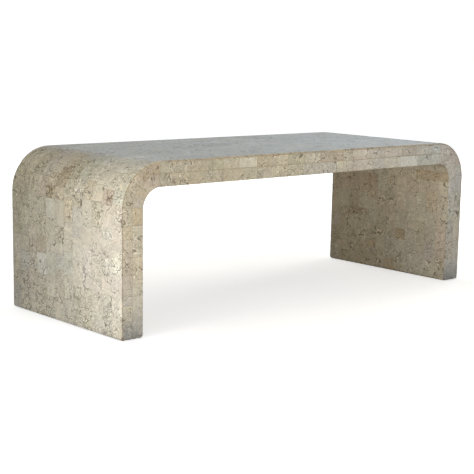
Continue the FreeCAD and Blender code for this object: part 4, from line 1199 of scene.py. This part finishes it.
world = bpy.data.worlds.new("studio")
scene.world = world
world.use_nodes = True
wn = world.node_tree
wn.nodes.clear()
wout = wn.nodes.new("ShaderNodeOutputWorld")
wmix = wn.nodes.new("ShaderNodeMixShader")
wlp = wn.nodes.new("ShaderNodeLightPath")
wcam = wn.nodes.new("ShaderNodeBackground")
wcam.inputs["Color"].default_value = (1, 1, 1, 1)
wcam.inputs["Strength"].default_value = 1.0
wn.links.new(wlp.outputs["Is Camera Ray"], wmix.inputs[0])
wn.links.new(wcam.outputs[0], wmix.inputs[2])
wn.links.new(wmix.outputs[0], wout.inputs[0])
# What the stone mirrors and is lit by: a dim room, with a cool glow low down behind the table's right end.
wat = wn.nodes.new("ShaderNodeTexCoord")
total_ = None
for way, power, colour in (
    (None, 0, (0.08, 0.08, 0.08)),
    ((0.68, 0.73, 0.12), 8, (0.385, 0.483, 0.615)),
    ((0.90, 0.43, 0.08), 14, (0.135, 0.293, 0.416)),
    ((0.89, 0.45, 0.07), 40, (1.05, 1.02, 1.02)),
):
    glowing = wn.nodes.new("ShaderNodeBackground")
    glowing.inputs["Color"].default_value = (*colour, 1)
    if way is not None:
        dot = wn.nodes.new("ShaderNodeVectorMath")
        dot.operation = "DOT_PRODUCT"
        wn.links.new(wat.outputs["Generated"], dot.inputs[0])
        dot.inputs[1].default_value = Vector(way).normalized()
        most = wn.nodes.new("ShaderNodeMath")
        most.operation = "MAXIMUM"
        wn.links.new(dot.outputs["Value"], most.inputs[0])
        most.inputs[1].default_value = 0.0
        raised = wn.nodes.new("ShaderNodeMath")
        raised.operation = "POWER"
        wn.links.new(most.outputs[0], raised.inputs[0])
        raised.inputs[1].default_value = power
        wn.links.new(raised.outputs[0], glowing.inputs["Strength"])
    if total_ is None:
        total_ = glowing
    else:
        both = wn.nodes.new("ShaderNodeAddShader")
        wn.links.new(total_.outputs[0], both.inputs[0])
        wn.links.new(glowing.outputs[0], both.inputs[1])
        total_ = both
wn.links.new(total_.outputs[0], wmix.inputs[1])


def lamp(name, kind, place, target, power, size=1.0, size_y=None, colour=(1, 1, 1), spread=None):
    data = bpy.data.lights.new(name, kind)
    data.energy = power
    data.color = colour
    if kind == "AREA":
        data.shape = "RECTANGLE"
        data.size = size
        data.size_y = size_y or size
        if spread is not None:
            data.spread = math.radians(spread)
    ob = bpy.data.objects.new(name, data)
    ob.location = place
    way = Vector(target) - Vector(place)
    ob.rotation_euler = way.to_track_quat("-Z", "Y").to_euler()
    ob.visible_camera = False
    scene.collection.objects.link(ob)
    return ob


# Soft lamps: the key stands far to the left and small ones near the left leg's front edge shade that face
# from front to back; weak ones fill the apron, the knee space and the sides that the camera doesn't see.
lamp("key_left", "AREA", (-3.2, -0.6, 0.7), (-0.6, 0, 0.2), 17.7, 1.5, 1.2, (0.94, 0.99, 0.965))
lamp("near_left_a", "AREA", (-1.25, -0.75, 0.32), (-0.61, -0.2, 0.16), 0.83, 0.4, 0.5, (0.97, 1.0, 1.03))
lamp("near_left_b", "AREA", (-1.0, -0.5, 0.24), (-0.61, -0.23, 0.15), 0.73, 0.45, 0.45, (0.96, 1.0, 1.06))
lamp("near_left_c", "AREA", (-1.40, -0.32, 0.17), (-0.61, -0.22, 0.14), 0.55, 0.25, 0.35, (0.96, 1.0, 1.11), spread=70)
lamp("near_left_d", "AREA", (-1.05, -0.36, 0.15), (-0.61, -0.23, 0.15), 0.40, 0.32, 0.50, (0.965, 1.0, 1.09), spread=100)
lamp("front_soft", "AREA", (1.1, -1.7, 0.35), (0.3, -0.23, 0.3), 4.6, 1.2, 0.5, (0.86, 0.985, 1.06))
lamp("right_low", "AREA", (2.4, -1.6, 0.4), (0.5, -0.2, 0.3), 5.4, 1.0, 0.6, (0.80, 0.99, 1.42))
lamp("knee_fill", "AREA", (-0.2, -1.3, 0.32), (0.55, 0, 0.34), 5.9, 0.5, 0.2, (1.05, 0.86, 0.58))
lamp("cove_fill", "AREA", (0.41, -0.08, 0.21), (0.535, -0.09, 0.335), 0.014, 0.25, 0.06, (0.94, 0.95, 0.88), spread=70)
lamp("top_soft", "AREA", (0.0, 0.3, 2.6), (0.0, 0.0, 0.0), 17.1, 2.5, 2.0, (1.04, 0.98, 0.80))
lamp("top_front", "AREA", (-1, -1, 2), (-0.3, 0, 0.2), 4.8, 1.0, 1.0)
for name, place, target, power, wide, high in (
    ("fill_back", (0.6, 3.4, 0.85), (0, 0, 0.2), 72.0, 2.6, 1.4),
    ("fill_right", (3.6, 0.5, 0.8), (0.6, 0, 0.2), 62.0, 1.4, 1.4),
    ("fill_left_back", (-2.6, 2.6, 1.0), (-0.3, 0.2, 0.2), 14.0, 1.4, 1.2),
):
    fill = lamp(name, "AREA", place, target, power, wide, high)
    fill.visible_glossy = False

cam_data = bpy.data.cameras.new("camera")
cam = bpy.data.objects.new("camera", cam_data)
scene.collection.objects.link(cam)
scene.camera = cam
F_PX, CX, CY = 1174.736, 264.504, 269.283
YAW, PITCH, ROLL = 0.75207, 0.18915, 0.02206
fwd = Vector((math.sin(YAW) * math.cos(PITCH), math.cos(YAW) * math.cos(PITCH), -math.sin(PITCH)))
right = Vector((math.cos(YAW), -math.sin(YAW), 0.0))
up = right.cross(fwd)
cr, sr = math.cos(ROLL), math.sin(ROLL)
r2 = right * cr + up * sr
u2 = up * cr - right * sr
cam.matrix_world = Matrix(
    (
        (r2.x, u2.x, -fwd.x, -2.14377),
        (r2.y, u2.y, -fwd.y, -2.34094),
        (r2.z, u2.z, -fwd.z, 0.67094),
        (0, 0, 0, 1),
    )
)
cam_data.sensor_width = 36
cam_data.sensor_fit = "HORIZONTAL"
cam_data.lens = F_PX / 474 * 36
cam_data.shift_x = (237 - CX) / 474
cam_data.shift_y = (CY - 237) / 474
cam_data.clip_start = 0.05
cam_data.clip_end = 200
cam_data.dof.use_dof = False

scene.view_settings.view_transform = "Standard"
scene.view_settings.look = "None"
scene.view_settings.exposure = 0
scene.view_settings.gamma = 1
